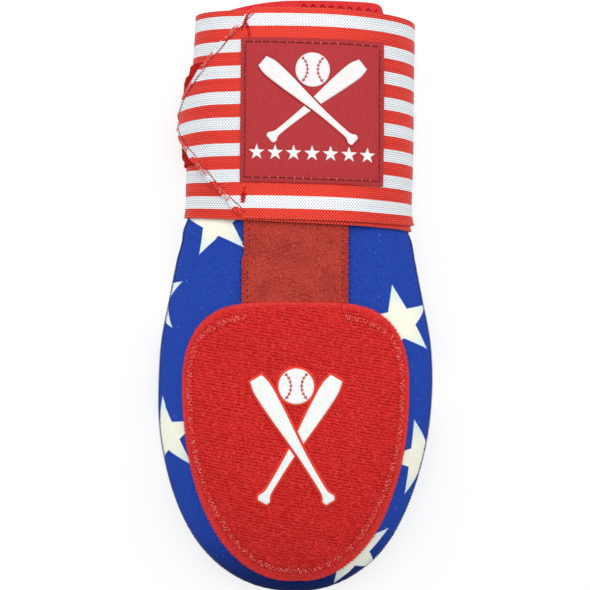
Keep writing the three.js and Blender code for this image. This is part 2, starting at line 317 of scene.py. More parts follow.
# %% [markdown]
# ## Colour and nodes
# Colours are written as the sRGB hex values that a painter would pick. Blender shades in linear
# light, so one function turns them. Another small one adds a shader node with its settings and
# links, and the patterns of every cloth below are made with it. Inputs 1 and 2 of a Map Range
# node are the ends of what it reads, and 3 and 4 are the ends of what it gives.
#
# A pixel of the picture is half a millimetre wide. Where the yarn or fibre of a real cloth is
# finer than that, its grain is drawn about as coarse as a pixel, or it wouldn't show.

# %% Helpers for materials
def linear(hex_colour):
    """The standard sRGB curve, undone for each of the three parts of a colour."""
    parts = [int(hex_colour[i:i + 2], 16) / 255 for i in (1, 3, 5)]
    return tuple(c / 12.92 if c <= 0.04045 else ((c + 0.055) / 1.055) ** 2.4 for c in parts) + (1,)


SOFT_STEP = {"interpolation_type": "SMOOTHSTEP"}
COLOURS = {"data_type": "RGBA"}


def add(tree, kind, inputs, output=0, **settings):
    """Add one node and give one of its outputs. An input is a value or another node's output."""
    node = tree.nodes.new("ShaderNode" + kind)
    for name, value in settings.items():
        setattr(node, name, value)
    for name, value in inputs.items():
        if isinstance(value, bpy.types.NodeSocket):
            tree.links.new(value, node.inputs[name])
        else:
            node.inputs[name].default_value = value
    return node.outputs[output]


CLOTH_GLOSS = 0.18


def new_material(name, **shader_values):
    material = bpy.data.materials.new(name)
    material.use_nodes = True
    shader = material.node_tree.nodes["Principled BSDF"]
    shader.inputs["Specular IOR Level"].default_value = CLOTH_GLOSS
    for socket, value in shader_values.items():
        shader.inputs[socket.replace("_", " ")].default_value = value
    return material, material.node_tree


def finish(material, colour, bump):
    """Join a colour and a bump to the material's shader."""
    shader = material.node_tree.nodes["Principled BSDF"]
    material.node_tree.links.new(colour, shader.inputs["Base Color"])
    material.node_tree.links.new(bump, shader.inputs["Normal"])
    return material


def per_metre(size_mm):
    """Texture scale whose features are a given size."""
    return 1 / (size_mm * MM)


def mottled_material(name, size_mm, colours, ends, relief, detail=3.0, **shader_values):
    """Material whose colour and height follow one noise with features of a given size.

    The ends are the noise values at the first and the second colour. The relief is the bump's
    strength and its height in millimetres."""
    material, tree = new_material(name, **shader_values)
    place = add(tree, "TexCoord", {}, "Object")
    rough = {"Vector": place, "Scale": per_metre(size_mm), "Detail": detail}
    noise = add(tree, "TexNoise", rough, "Fac")
    share = add(tree, "MapRange", {0: noise, 1: ends[0], 2: ends[1]}, **SOFT_STEP)
    shades = {"Factor": share, "A": linear(colours[0]), "B": linear(colours[1])}
    colour = add(tree, "Mix", shades, "Result", **COLOURS)
    strength, height = relief
    bumpy = {"Height": noise, "Strength": strength, "Distance": height * MM}
    return finish(material, colour, add(tree, "Bump", bumpy, "Normal"))


# %% [markdown]
# ## Printed neoprene
# The pouch is closed-cell neoprene, 3 mm thick, with a polyester jersey glued to it. The blue
# and the stars are dye that has been pressed into the jersey, so the face is matt with a fine
# grain, and the stars have no thickness. Each star is cream in the middle and fades to pale
# blue at its points. A star is one formula in the shader. The cloth only has to know where each
# point lies in the nearest star's own flat picture, which a second map tells it.

# %% Where the stars lie
STAR_RADIUS = 20
STAR_INNER_SHARE = 0.4
STAR_REACH = 1.5 * STAR_RADIUS
STAR_COLUMNS = ("turn", "y", "spin", "wide", "long")
FRONT_STARS = (
    (0.6254, 40.1, 26, 1.02, 0.93),
    (0.3585, -10.1, 29, 1.10, 0.96),
    (0.6952, -66.3, 24, 1.10, 0.97),
    (0.2932, -77.4, 37, 1.18, 1.00),
    (0.3880, -124.2, 31.5, 1.06, 1.06),
    (0.7925, 0.25, -33, 1.00, 1.00),
)
BACK_STARS = (
    (0.7925, 0.25, -33, 1.00, 1.00),
    (0.960, 32.0, 12, 1.05, 0.98),
    (1.130, -4.0, 50, 1.00, 1.04),
    (0.925, -46.0, 28, 0.96, 1.05),
    (1.075, -84.0, 5, 1.04, 1.00),
    (0.890, -112.0, 60, 1.00, 1.00),
    (1.210, -48.0, 20, 1.02, 0.98),
    (0.840, -78.0, 36, 1.00, 1.04),
)


def star_places(points, turn, y, spin, wide, long):
    """Place of each point in one star's own flat picture, first tip along +X, in millimetres.

    The picture is unrolled round the hand, so a star keeps its shape over the side's bend.
    The cloth is pulled over the hand, so each star is stretched a little in width and length."""
    centre = skin(turn, y)
    normal = skin_normal(turn, y)
    across = np.cross([0, 1, 0], normal)
    across /= np.linalg.norm(across)
    along = np.cross(normal, across)
    offset = points - centre
    distance = np.linalg.norm(offset, axis=1)
    lengthwise = offset @ along
    sideways = np.sign(offset @ across) * np.sqrt(np.maximum(0, distance**2 - lengthwise**2))
    distance = np.hypot(sideways / wide, lengthwise / long)
    angle = np.arctan2(lengthwise / long, sideways / wide) - math.radians(spin)
    return np.stack([distance * np.cos(angle), distance * np.sin(angle)], axis=1), distance


def write_star_map(mesh, points, stars):
    """Each face takes its place from the one star nearest to it, or is out of every star's reach."""
    corners = np.empty(len(mesh.loops), int)
    mesh.loops.foreach_get("vertex_index", corners)
    sides = np.empty(len(mesh.polygons), int)
    mesh.polygons.foreach_get("loop_total", sides)
    face_of_corner = np.repeat(np.arange(len(sides)), sides)
    found = [star_places(points, **dict(zip(STAR_COLUMNS, star))) for star in stars]
    totals = [np.bincount(face_of_corner, distance[corners]) for _, distance in found]
    distances = np.array(totals) / sides
    nearest = np.argmin(distances, axis=0)[face_of_corner]
    places = np.array([place for place, _ in found])[nearest, corners]
    places[distances.min(axis=0)[face_of_corner] > STAR_REACH] = (STAR_REACH, 0)
    layer = mesh.uv_layers.new(name="star")
    layer.data.foreach_set("uv", places.astype(np.float32).ravel())


print(len(FRONT_STARS), "stars on the front,", len(BACK_STARS), "on the back")

# %% [markdown]
# A five-pointed star folds onto itself ten times. So the shader measures the angle, folds it
# with a ping-pong into one half of one point, and there the star's edge is a straight line. The
# distance to that line is in millimetres, which lets the dye bleed by a fifth of one.

# %% Printed neoprene material
# The jersey's yarns are finer than a pixel, so their grain is drawn this coarse to show.
YARN = 0.5
CLOUD = 30
LINT = 1.6
NOSE_SHADE_FROM_Y = -108
NOSE_SHADE_TO_Y = -150
NOSE_SHADE = 0.85
DYE_BLEED = 0.22
FRAY = 0.5


def star_distance(tree, star_place):
    """Distance outside the star's edge and distance from its centre, in millimetres."""
    x, y = (add(tree, "SeparateXYZ", {0: star_place}, axis) for axis in "XY")
    radius = add(tree, "VectorMath", {0: star_place}, "Value", operation="LENGTH")
    angle = add(tree, "Math", {0: y, 1: x}, operation="ARCTAN2")
    folded = add(tree, "Math", {0: angle, 1: math.pi / 5}, operation="PINGPONG")
    cosine = add(tree, "Math", {0: folded}, operation="COSINE")
    sine = add(tree, "Math", {0: folded}, operation="SINE")
    along = add(tree, "Math", {0: radius, 1: cosine}, operation="MULTIPLY")
    across = add(tree, "Math", {0: radius, 1: sine}, operation="MULTIPLY")
    notch = STAR_RADIUS * STAR_INNER_SHARE
    edge = Vector((notch * math.cos(math.pi / 5) - STAR_RADIUS, notch * math.sin(math.pi / 5)))
    outward = Vector((edge.y, -edge.x)).normalized()
    before_tip = add(tree, "Math", {0: along, 1: STAR_RADIUS}, operation="SUBTRACT")
    from_tip = add(tree, "Math", {0: before_tip, 1: outward.x}, operation="MULTIPLY")
    outside = add(tree, "Math", {0: across, 1: outward.y, 2: from_tip}, operation="MULTIPLY_ADD")
    return outside, radius


def printed_neoprene():
    """Neoprene faced with dye-printed jersey: matt, with a fine grain and a few specks of lint.

    Towards the fingertips the blue is darkened. That stands in for the shade which the picture
    shows there and which this soft light doesn't cast."""
    material, tree = new_material(
        "neoprene_printed_jersey", Roughness=0.85, Specular_IOR_Level=0.06)
    place = add(tree, "TexCoord", {}, "Object")
    yarn = add(tree, "TexNoise", {"Vector": place, "Scale": per_metre(YARN), "Detail": 3.0}, "Fac")
    cloud = add(tree, "TexNoise", {"Vector": place, "Scale": per_metre(CLOUD), "Detail": 2.0}, "Fac")
    lint = add(tree, "TexNoise", {"Vector": place, "Scale": per_metre(LINT), "Detail": 1.0}, "Fac")
    lit = add(tree, "MapRange", {0: yarn, 1: 0.32, 2: 0.68})
    deep, pale = linear("#17328a"), linear("#2f54bb")
    blue = add(tree, "Mix", {"Factor": lit, "A": deep, "B": pale}, "Result", **COLOURS)
    patch = add(tree, "MapRange", {0: cloud, 1: 0.35, 2: 0.75, 4: 0.7}, **SOFT_STEP)
    specks = add(tree, "MapRange", {0: lint, 1: 0.735, 2: 0.79}, **SOFT_STEP)
    y = add(tree, "SeparateXYZ", {0: place}, "Y")
    towards_tip = {0: y, 1: NOSE_SHADE_FROM_Y * MM, 2: NOSE_SHADE_TO_Y * MM, 4: NOSE_SHADE}
    shade = add(tree, "MapRange", towards_tip, **SOFT_STEP)
    for share, hex_colour in ((patch, "#2443a2"), (specks, "#5a7bd0"), (shade, "#0a1238")):
        laid = {"Factor": share, "A": blue, "B": linear(hex_colour)}
        blue = add(tree, "Mix", laid, "Result", **COLOURS)
    star_place = add(tree, "UVMap", {}, "UV", uv_map="star")
    outside, radius = star_distance(tree, star_place)
    to_tip = add(tree, "MapRange", {0: radius, 1: 6.0, 2: STAR_RADIUS}, **SOFT_STEP)
    tinted = {"Factor": to_tip, "A": linear("#fbfae6"), "B": linear("#d2e9ee")}
    cream = add(tree, "Mix", tinted, "Result", **COLOURS)
    shaded = add(tree, "MapRange", {0: yarn, 1: 0.25, 2: 0.55}, **SOFT_STEP)
    grainy = {"Factor": shaded, "A": linear("#edf1e6"), "B": cream}
    cream = add(tree, "Mix", grainy, "Result", **COLOURS)
    frayed = add(tree, "Math", {0: yarn, 1: FRAY, 2: outside}, operation="MULTIPLY_ADD")
    edge = {0: frayed, 1: FRAY / 2 + DYE_BLEED, 2: FRAY / 2 - DYE_BLEED}
    inside = add(tree, "MapRange", edge, **SOFT_STEP)
    printed = add(tree, "Mix", {"Factor": inside, "A": blue, "B": cream}, "Result", **COLOURS)
    grain = add(tree, "Bump", {"Height": yarn, "Strength": 0.35, "Distance": 0.15 * MM}, "Normal")
    return finish(material, printed, grain)


def neoprene_lining():
    """Black loop-faced nylon inside the pouch: dull, with the same fine grain as the jersey."""
    material, tree = new_material("neoprene_black_lining", Roughness=0.85, Sheen_Weight=0.15)
    place = add(tree, "TexCoord", {}, "Object")
    yarn = add(tree, "TexNoise", {"Vector": place, "Scale": per_metre(YARN), "Detail": 3.0}, "Fac")
    shades = {"Factor": yarn, "A": linear("#17181c"), "B": linear("#2a2c33")}
    grey = add(tree, "Mix", shades, "Result", **COLOURS)
    grain = add(tree, "Bump", {"Height": yarn, "Strength": 0.4, "Distance": 0.15 * MM}, "Normal")
    return finish(material, grey, grain)


PRINTED_NEOPRENE = printed_neoprene()
LINING = neoprene_lining()
print("made", PRINTED_NEOPRENE.name, "and", LINING.name)

# %% [markdown]
# ## Front and back of the pouch
# Two cut panels are joined along the side seams. The rows of the grid lie closer together round
# the nose, where the cloth bends most. The cut edges are rounded a little by a bevel.

# %% Pouch panels
NEOPRENE = 3
SEAM_GAP = 0.3
NOSE_SHARE = 0.45
NOSE_TURN = math.radians(88.3)
PANEL_CELLS = (110, 130)
BEVEL_ANGLE = 50


def pouch_y(v):
    straight = NOSE_Y + (PANEL_END_Y - NOSE_Y) * (v - NOSE_SHARE) / (1 - NOSE_SHARE)
    round_nose = NOSE_Y + (TIP_Y - NOSE_Y) * np.sin(NOSE_TURN * (1 - v / NOSE_SHARE))
    return np.where(v >= NOSE_SHARE, straight, round_nose)


def soften_edges(piece, width_mm):
    bevel = piece.modifiers.new("rounded edge", "BEVEL")
    bevel.width = width_mm * MM
    bevel.segments = 2
    bevel.limit_method = "ANGLE"
    bevel.angle_limit = math.radians(BEVEL_ANGLE)
    bevel.harden_normals = False


def pouch_panel(name, start_turn, seam_gap, stars, node):
    def place(u, v, depth):
        points = lay(start_turn + 0.5 * (1 - u), pouch_y(v), -NEOPRENE * (1 - depth))
        points[..., 2] += seam_gap * (1 - np.sin(np.pi * u))
        return points

    piece, flat = bent_cloth(name, *PANEL_CELLS, place, "blue_neoprene", node)
    mesh = piece.data
    write_star_map(mesh, place(flat[:, 0], flat[:, 1], np.ones(len(flat))), stars)
    mesh.materials.append(PRINTED_NEOPRENE)
    mesh.materials.append(LINING)
    inner = flat[:, 2] < 0.5
    for polygon in mesh.polygons:
        polygon.material_index = int(all(inner[k] for k in polygon.vertices))
    soften_edges(piece, width_mm=0.5)
    return piece


front_panel = pouch_panel("front_of_pouch", 0.25, SEAM_GAP, FRONT_STARS, "front_panel")
back_panel = pouch_panel("back_of_pouch", 0.75, 0, BACK_STARS, "back_panel")

# %% [markdown]
# ## Sewing thread
# A stitch is a real thread that dips into one needle hole, bows up over the cloth and dips into
# the next. Drawn as a thin curve with a round bevel it becomes a closed tube when it is made
# into a mesh. A thread seen from arm's length needs only six sides.

# %% Thread and needle holes
# A thread's twisted plies are finer. Drawn this coarse, they show as shades along the thread.
THREAD_PLY = 0.8
ZIGZAG_STEPS = 5
PULLED_DOWN = 0.8


def thread_piece(name, lines, material, slot, radius_mm, sides=6):
    """Joined threads along lines of points in millimetres."""
    curve = bpy.data.curves.new(name, "CURVE")
    curve.dimensions = "3D"
    curve.bevel_depth = radius_mm * MM
    curve.bevel_resolution = (sides - 4) // 2
    curve.use_fill_caps = True
    for line in lines:
        spline = curve.splines.new("POLY")
        spline.points.add(len(line) - 1)
        points = np.column_stack([np.asarray(line) * MM, np.ones(len(line))])
        spline.points.foreach_set("co", points.ravel())
    route = bpy.data.objects.new(name, curve)
    collection.objects.link(route)
    graph = bpy.context.evaluated_depsgraph_get()
    mesh = bpy.data.meshes.new_from_object(route.evaluated_get(graph))
    bpy.data.objects.remove(route)
    bpy.data.curves.remove(curve)
    bm = bmesh.new()
    bm.from_mesh(mesh)
    bmesh.ops.remove_doubles(bm, verts=bm.verts, dist=1e-7)
    bmesh.ops.recalc_face_normals(bm, faces=bm.faces)
    bm.to_mesh(mesh)
    bm.free()
    mesh.name = name
    mesh.materials.clear()
    mesh.materials.append(material)
    piece = new_object(name, mesh, slot)
    print(name, len(lines), "threads,", len(mesh.polygons), "faces")
    return piece


def dot_piece(name, points, material, slot, radius_mm, flatness):
    """Many small beads flattened in height, such as painted shade at needle holes, joined in one mesh.
    """
    bm = bmesh.new()
    shape = Matrix.Diagonal((radius_mm * MM, radius_mm * MM, radius_mm * flatness * MM, 1))
    for point in points:
        place = Matrix.Translation(Vector(point) * MM) @ shape
        bmesh.ops.create_icosphere(bm, subdivisions=1, radius=1, matrix=place)
    mesh = mesh_from(bm, name)
    mesh.materials.append(material)
    piece = new_object(name, mesh, slot)
    print(name, len(points), "dots")
    return piece


def thread_material(name, dark, light):
    """Spun polyester thread: a fuzzy, nearly dull ply, whose colour wanders along it."""
    return mottled_material(
        name, THREAD_PLY, (dark, light), ends=(0.35, 0.65), relief=(0.3, 0.05), detail=2.0,
        Roughness=0.8, Specular_IOR_Level=0.03)


PINK_THREAD = thread_material("thread_faded_pink", "#e25a54", "#ffb4ac")
DARK_RED_THREAD = thread_material("thread_dark_red", "#6d1a18", "#a8302c")
RED_THREAD = thread_material("thread_red", "#a81f20", "#dd3f3b")
NAVY_THREAD = thread_material("thread_navy", "#0a1650", "#182d7c")
# A needle hole shows only as shade, so its beads have the thread's dull finish in dark colours.
HOLE = thread_material("needle_hole_shade", "#3a0a0a", "#561211")
print("made", PINK_THREAD.name, "and four more for threads and holes")


def zigzag(length, pitch, reach, rise, dip, seed, loose, sunk=0.0):
    """Flat zigzag seam: lengths along it, offsets across it and heights of the thread.

    A share of the stitches, given by sunk, is pulled down into the cloth."""
    draw = random.Random(seed)
    holes = int(length / (pitch / 2))
    wander = np.array([draw.uniform(-loose, loose) for _ in range(2 * (holes + 1))]).reshape(2, -1)
    pulled = np.array([draw.random() < sunk for _ in range(holes + 1)]) * PULLED_DOWN
    step = np.arange(holes * ZIGZAG_STEPS + 1) / ZIGZAG_STEPS
    along = np.interp(step, np.arange(holes + 1), np.arange(holes + 1) * pitch / 2 + wander[0] * pitch)
    side = np.where(np.arange(holes + 1) % 2 == 0, -1, 1) * reach * (1 + wander[1])
    across = np.interp(step, np.arange(holes + 1), side)
    bow = np.sqrt(np.abs(np.sin(np.pi * step))) * (1 - pulled[step.astype(int)])
    return along, across, -dip + (rise + dip) * bow


# %% [markdown]
# ## Side seam
# The two panels are joined by an overlock stitch in navy thread. Its loops go over the edge from
# one panel to the other every 1.25 mm. They reach further up the front, so from above they show
# as a thin dark line with fine teeth along the mitt's outline.

# %% Overlock round the pouch
SEAM_PITCH = 1.25
SEAM_BACK_TURN = 0.012
SEAM_FRONT_TURN = 0.03
SEAM_THREAD = 0.36
SEAM_POINTS = 1500
SEAM_LEAN = 0.3
SEAM_SUNK = 0.15
SEAM_BOW = 0.42


def seam_stations():
    """Turn and y of each stitch, from the right wrist round the nose to the left wrist."""
    y = pouch_y(np.linspace(1, 0, SEAM_POINTS))
    turn = np.repeat([0.25, 0.75], SEAM_POINTS)
    y = np.concatenate([y, y[::-1]])
    points = skin(turn, y)
    steps = np.linalg.norm(np.diff(points, axis=0, prepend=points[:1]), axis=1)
    steps[SEAM_POINTS] = 0
    length = np.cumsum(steps)
    stations = np.arange(0.6, length[-1], SEAM_PITCH)
    side = np.where(stations < length[SEAM_POINTS], 0.25, 0.75)
    return side, np.interp(stations, length, y), length[-1]


def overlock():
    side, y, seam_length = seam_stations()
    draw = random.Random(4)
    lines = []
    for turn, at in zip(side, y):
        to_front = 1 if turn < 0.5 else -1
        arc = np.linspace(-1, 1, 9)
        lean = draw.uniform(-0.12, 0.12) + SEAM_LEAN
        height = -SEAM_SUNK + SEAM_BOW * np.sqrt(1 - arc**2)
        reach = np.interp(arc, (-1, 1), (-SEAM_BACK_TURN, SEAM_FRONT_TURN * draw.uniform(0.9, 1.1)))
        along = np.clip(at + lean * arc, TIP_Y + 0.1, None)
        lines.append(lay(turn + to_front * reach, along, height))
    print("side seam is", round(seam_length), "mm long")
    return thread_piece("side_seam_overlock", lines, NAVY_THREAD, "blue_neoprene", SEAM_THREAD)


seam_thread = overlock()

# %% [markdown]
# ## Suede strip
# A strip of synthetic suede, 2 inches wide, runs from under the strap to under the knit pad. Its
# nap is brushed both ways, so it looks patchy. It is sewn on with a zigzag in its own colour. The
# stitches pull small scallops into both cut edges, and the shade of their needle holes is painted
# as dark dots.

# %% Suede strip
STRIP_WIDTH = 50.8
STRIP_THICKNESS = 1.5
STRIP_CENTRE_X = 0.5
STRIP_PAD_Y = -6
STRIP_STRAP_Y = 42.5
STRIP_SCALLOP = 0.22
STRIP_WIDER = 1.0
STRIP_WIDER_AT = (24, 20)
STRIP_ZIGZAG_PITCH = 3.0
STRIP_ZIGZAG_INSET = 2.9
NAP = 9
# The fibres of suede are far finer, so their grain is drawn this coarse to show.
SUEDE_GRAIN = 0.7


def suede():
    """Microfibre suede: no gloss at all, a patchy nap and a little bloom at grazing angles."""
    material, tree = new_material(
        "suede_red_microfibre", Roughness=0.95, Sheen_Weight=0.12, Sheen_Roughness=0.6,
        Sheen_Tint=linear("#ff9a88"))
    place = add(tree, "TexCoord", {}, "Object")
    rough = {"Vector": place, "Scale": per_metre(NAP), "Detail": 4.0, "Roughness": 0.6}
    nap = add(tree, "TexNoise", rough, "Fac")
    fine = {"Vector": place, "Scale": per_metre(SUEDE_GRAIN), "Detail": 3.0}
    grain = add(tree, "TexNoise", fine, "Fac")
    brushed = add(tree, "MapRange", {0: nap, 1: 0.35, 2: 0.65}, **SOFT_STEP)
    patches = {"Factor": brushed, "A": linear("#962a24"), "B": linear("#b43a31")}
    red = add(tree, "Mix", patches, "Result", **COLOURS)
    fibre = add(tree, "MapRange", {0: grain, 1: 0.35, 2: 0.68}, **SOFT_STEP)
    flecks = {"Factor": fibre, "A": linear("#8a211c"), "B": linear("#d65a48")}
    fleck = add(tree, "Mix", flecks, "Result", **COLOURS)
    red = add(tree, "Mix", {"Factor": 0.45, "A": red, "B": fleck}, "Result", **COLOURS)
    relief = add(tree, "Bump", {"Height": grain, "Strength": 0.5, "Distance": 0.2 * MM}, "Normal")
    return finish(material, red, relief)


SUEDE = suede()


def strip_edge(y, side):
    """Where a cut edge lies: the left one stands out further on the pad's half."""
    wider = (side < 0) * STRIP_WIDER * ramp(y, STRIP_WIDER_AT)
    return STRIP_CENTRE_X + side * STRIP_WIDTH / 2 - wider


def strip_place(u, v, depth):
    y = STRIP_PAD_Y + (STRIP_STRAP_Y - STRIP_PAD_Y) * v
    share = 2 * u - 1
    pull = np.abs(np.sin(np.pi * (y - STRIP_PAD_Y) / STRIP_ZIGZAG_PITCH)) - 0.5
    x = strip_edge(y, -1) * (1 - u) + strip_edge(y, 1) * u
    x = x + STRIP_SCALLOP * pull * share * ramp(np.abs(share), (0.88, 1))
    return lay_on_front(x, y, SEAM_GAP + STRIP_THICKNESS * depth)


strip, _ = bent_cloth("suede_strip", 40, 160, strip_place, "red_suede", "centre_strip")
strip.data.materials.append(SUEDE)
soften_edges(strip, width_mm=0.3)

# %% Zigzag along the strip
SUEDE_THREAD = thread_material("thread_suede_red", "#a3332c", "#cd4e43")
# Dark beads of painted shade at the needle holes where the stitches pull the strip's edges in.
EDGE_HOLE_SHADE = thread_material("needle_hole_shade_navy", "#160d28", "#2a1232")


def strip_zigzags():
    lines, inner, outer = [], [], []
    for number, side in enumerate((-1, 1)):
        along, across, height = zigzag(
            STRIP_STRAP_Y - STRIP_PAD_Y, STRIP_ZIGZAG_PITCH, STRIP_ZIGZAG_INSET / 2,
            rise=0.3, dip=0.1, seed=7 + number, loose=0.05)
        y = STRIP_PAD_Y + along
        x = strip_edge(y, side) - side * (STRIP_ZIGZAG_INSET / 2 - 0.1) + side * across
        lines.append(lay_on_front(x, y, SEAM_GAP + STRIP_THICKNESS + height))
        stitch = 2 * ZIGZAG_STEPS
        near, far = np.arange(0, len(x), stitch), np.arange(ZIGZAG_STEPS, len(x), stitch)
        # Beads of painted shade at the needle holes, inside the strip and just outside its edge.
        inner.append(lay_on_front(x[near], y[near], SEAM_GAP + STRIP_THICKNESS + 0.04))
        outer.append(lay_on_front(x[far] + side * 0.35, y[far], SEAM_GAP + 0.05))
    return [thread_piece("strip_zigzag", lines, SUEDE_THREAD, "red_suede", radius_mm=0.26),
            dot_piece("strip_needle_hole_shade", np.concatenate(inner), HOLE, "red_suede",
                      radius_mm=0.46, flatness=0.25),
            dot_piece("strip_edge_hole_shade", np.concatenate(outer), EDGE_HOLE_SHADE, "red_suede",
                      radius_mm=0.5, flatness=0.3)]


strip_seam = strip_zigzags()

# %% [markdown]
# ## Knit pad
# The pad is a thick knitted fabric whose ribs run across the hand and sag to the right, where
# they slope a little more. The ribs are 1.55 mm apart, so they are modelled, with nearly six
# rows of the grid to each rib. They end in small teeth along the cut edge. The pad steps up
# where it covers the suede strip.

# %% Knit pad shape
PAD_X = 0.4
PAD_WIDEST_Y = -40
PAD_HALF_WIDTH = 55.7
PAD_TOP_Y = 0.2
PAD_BOTTOM_Y = -137.9
PAD_BEND = 2.2
PAD_TOP_CORNER = 4
PAD_EDGE = 1.5
PAD_MIDDLE = 2.6
PAD_GAP = 0.4
PAD_END_SHARE = 0.9976
PAD_EDGE_EASING = 4
PAD_OVER_STRIP_SIDE = (18, 4)
PAD_OVER_STRIP_END = (-32, -8)
PAD_CELLS = (72, 520)
RIB_PITCH = 1.55
RIB_HEIGHT = 0.12
RIB_SLOPE = 0.168
RIB_CURVE = 0.00035
RIB_WANDER = 0.22
RIB_TOOTH = 0.3
RIB_TOOTH_FROM = 0.93


def pad_half_width(y):
    above = np.clip((y - PAD_WIDEST_Y) / (PAD_TOP_Y - PAD_WIDEST_Y), 0, 1)
    below = np.clip((PAD_WIDEST_Y - y) / (PAD_WIDEST_Y - PAD_BOTTOM_Y), 0, 1)
    top = np.maximum(0, 1 - above**PAD_BEND) ** (1 / PAD_TOP_CORNER)
    bottom = np.maximum(0, 1 - below**PAD_BEND) ** (1 / PAD_BEND)
    return PAD_HALF_WIDTH * np.where(y > PAD_WIDEST_Y, top, bottom)


def pad_reach(upper):
    """Length from the pad's widest place to its top end, or else to its bottom end."""
    return np.where(upper, PAD_TOP_Y - PAD_WIDEST_Y, PAD_WIDEST_Y - PAD_BOTTOM_Y)


def pad_outline(count):
    """The pad's right edge from bottom to top: half widths and places along the hand."""
    angle = np.linspace(-1, 1, count) * math.asin(PAD_END_SHARE)
    y = PAD_WIDEST_Y + pad_reach(angle > 0) * np.sin(angle)
    return pad_half_width(y), y


def rib_place(x, y):
    """Length across the ribs, which sag to the right and wander a little."""
    wander = np.sin(x / 9 + y / 31) * 0.6 + np.sin(x / 21 - y / 13 + 2) * 0.4
    return y + RIB_SLOPE * x + RIB_CURVE * x**2 + RIB_WANDER * wander


def pad_step(x, y):
    """Height of the pad's underside over the skin, higher where it covers the strip."""
    beside = ramp(np.abs(x - STRIP_CENTRE_X) - STRIP_WIDTH / 2, PAD_OVER_STRIP_SIDE)
    return PAD_GAP + (STRIP_THICKNESS + SEAM_GAP) * beside * ramp(y - STRIP_PAD_Y, PAD_OVER_STRIP_END)


def pad_thickness(inside):
    return PAD_EDGE + (PAD_MIDDLE - PAD_EDGE) * (1 - inside**PAD_EDGE_EASING)


def pad_rows(v):
    """Rows evenly spaced along the hand, so each rib gets the same number of them."""
    low = PAD_WIDEST_Y - (PAD_WIDEST_Y - PAD_BOTTOM_Y) * PAD_END_SHARE
    high = PAD_WIDEST_Y + (PAD_TOP_Y - PAD_WIDEST_Y) * PAD_END_SHARE
    return low + (high - low) * v


def pad_inside(x, y):
    """0 in the middle of the pad and 1 at its edge."""
    height = np.clip((y - PAD_WIDEST_Y) / pad_reach(y > PAD_WIDEST_Y), -1, 1)
    upright = np.arcsin(height) / math.asin(PAD_END_SHARE)
    sideways = (x - PAD_X) / np.maximum(pad_half_width(y), 1)
    return np.clip(np.maximum(np.abs(upright), np.abs(sideways)), 0, 1)


def pad_place(u, v, depth):
    y = pad_rows(v)
    share = 2 * u - 1
    half = pad_half_width(y)
    ribs = np.cos(2 * np.pi * rib_place(PAD_X + half * share, y) / RIB_PITCH)
    tooth = RIB_TOOTH * ribs * ramp(np.abs(share), (RIB_TOOTH_FROM, 1))
    x = PAD_X + (half + tooth) * share
    crest = RIB_HEIGHT * ribs * (depth > 0.5)
    thickness = pad_thickness(pad_inside(PAD_X + half * share, y))
    return lay_on_front(x, y, pad_step(x, y) + thickness * depth + crest)


def pad_map(u, v):
    y = pad_rows(v)
    x = PAD_X + pad_half_width(y) * (2 * u - 1)
    return np.stack([x, rib_place(x, y)], axis=1)


def pad_top(x, y, over=0.0):
    """Points at a height over the pad's outer face."""
    return lay_on_front(x, y, pad_step(x, y) + pad_thickness(pad_inside(x, y)) + over)


print("pad is", 2 * PAD_HALF_WIDTH, "mm wide and", PAD_TOP_Y - PAD_BOTTOM_Y, "mm long")

# %% [markdown]
# The shade between the ribs is painted: the knit is drawn darker there. The shader reads the same
# rib lengths as the shape, from the cloth map. It slants small stitches across each rib, with
# painted shade between them, and adds noise, because worn knit is fluffy. The hollows of that
# fluff get painted shade too. A second map tells it how near the edge a place is, for there the
# knit is teased.

# %% Knit material
LOOP_LENGTH = 1.9
STITCH_WIDTH = 1.15
# Fluff is finer than a pixel, so it is drawn this coarse to show.
FUZZ = 0.6
PILL = 8.0
DRIFT = 2.6
DRIFT_REACH = 0.75


def pad_edge_map(u, v):
    """First value: how near the pad's edge a place is, 1 at the edge itself."""
    y = pad_rows(v)
    upper = y > PAD_WIDEST_Y
    sideways = np.abs(2 * u - 1) * pad_half_width(y) / PAD_HALF_WIDTH
    near = sideways ** np.where(upper, PAD_TOP_CORNER, PAD_BEND)
    return np.stack([near + np.abs((y - PAD_WIDEST_Y) / pad_reach(upper)) ** PAD_BEND, v], axis=1)


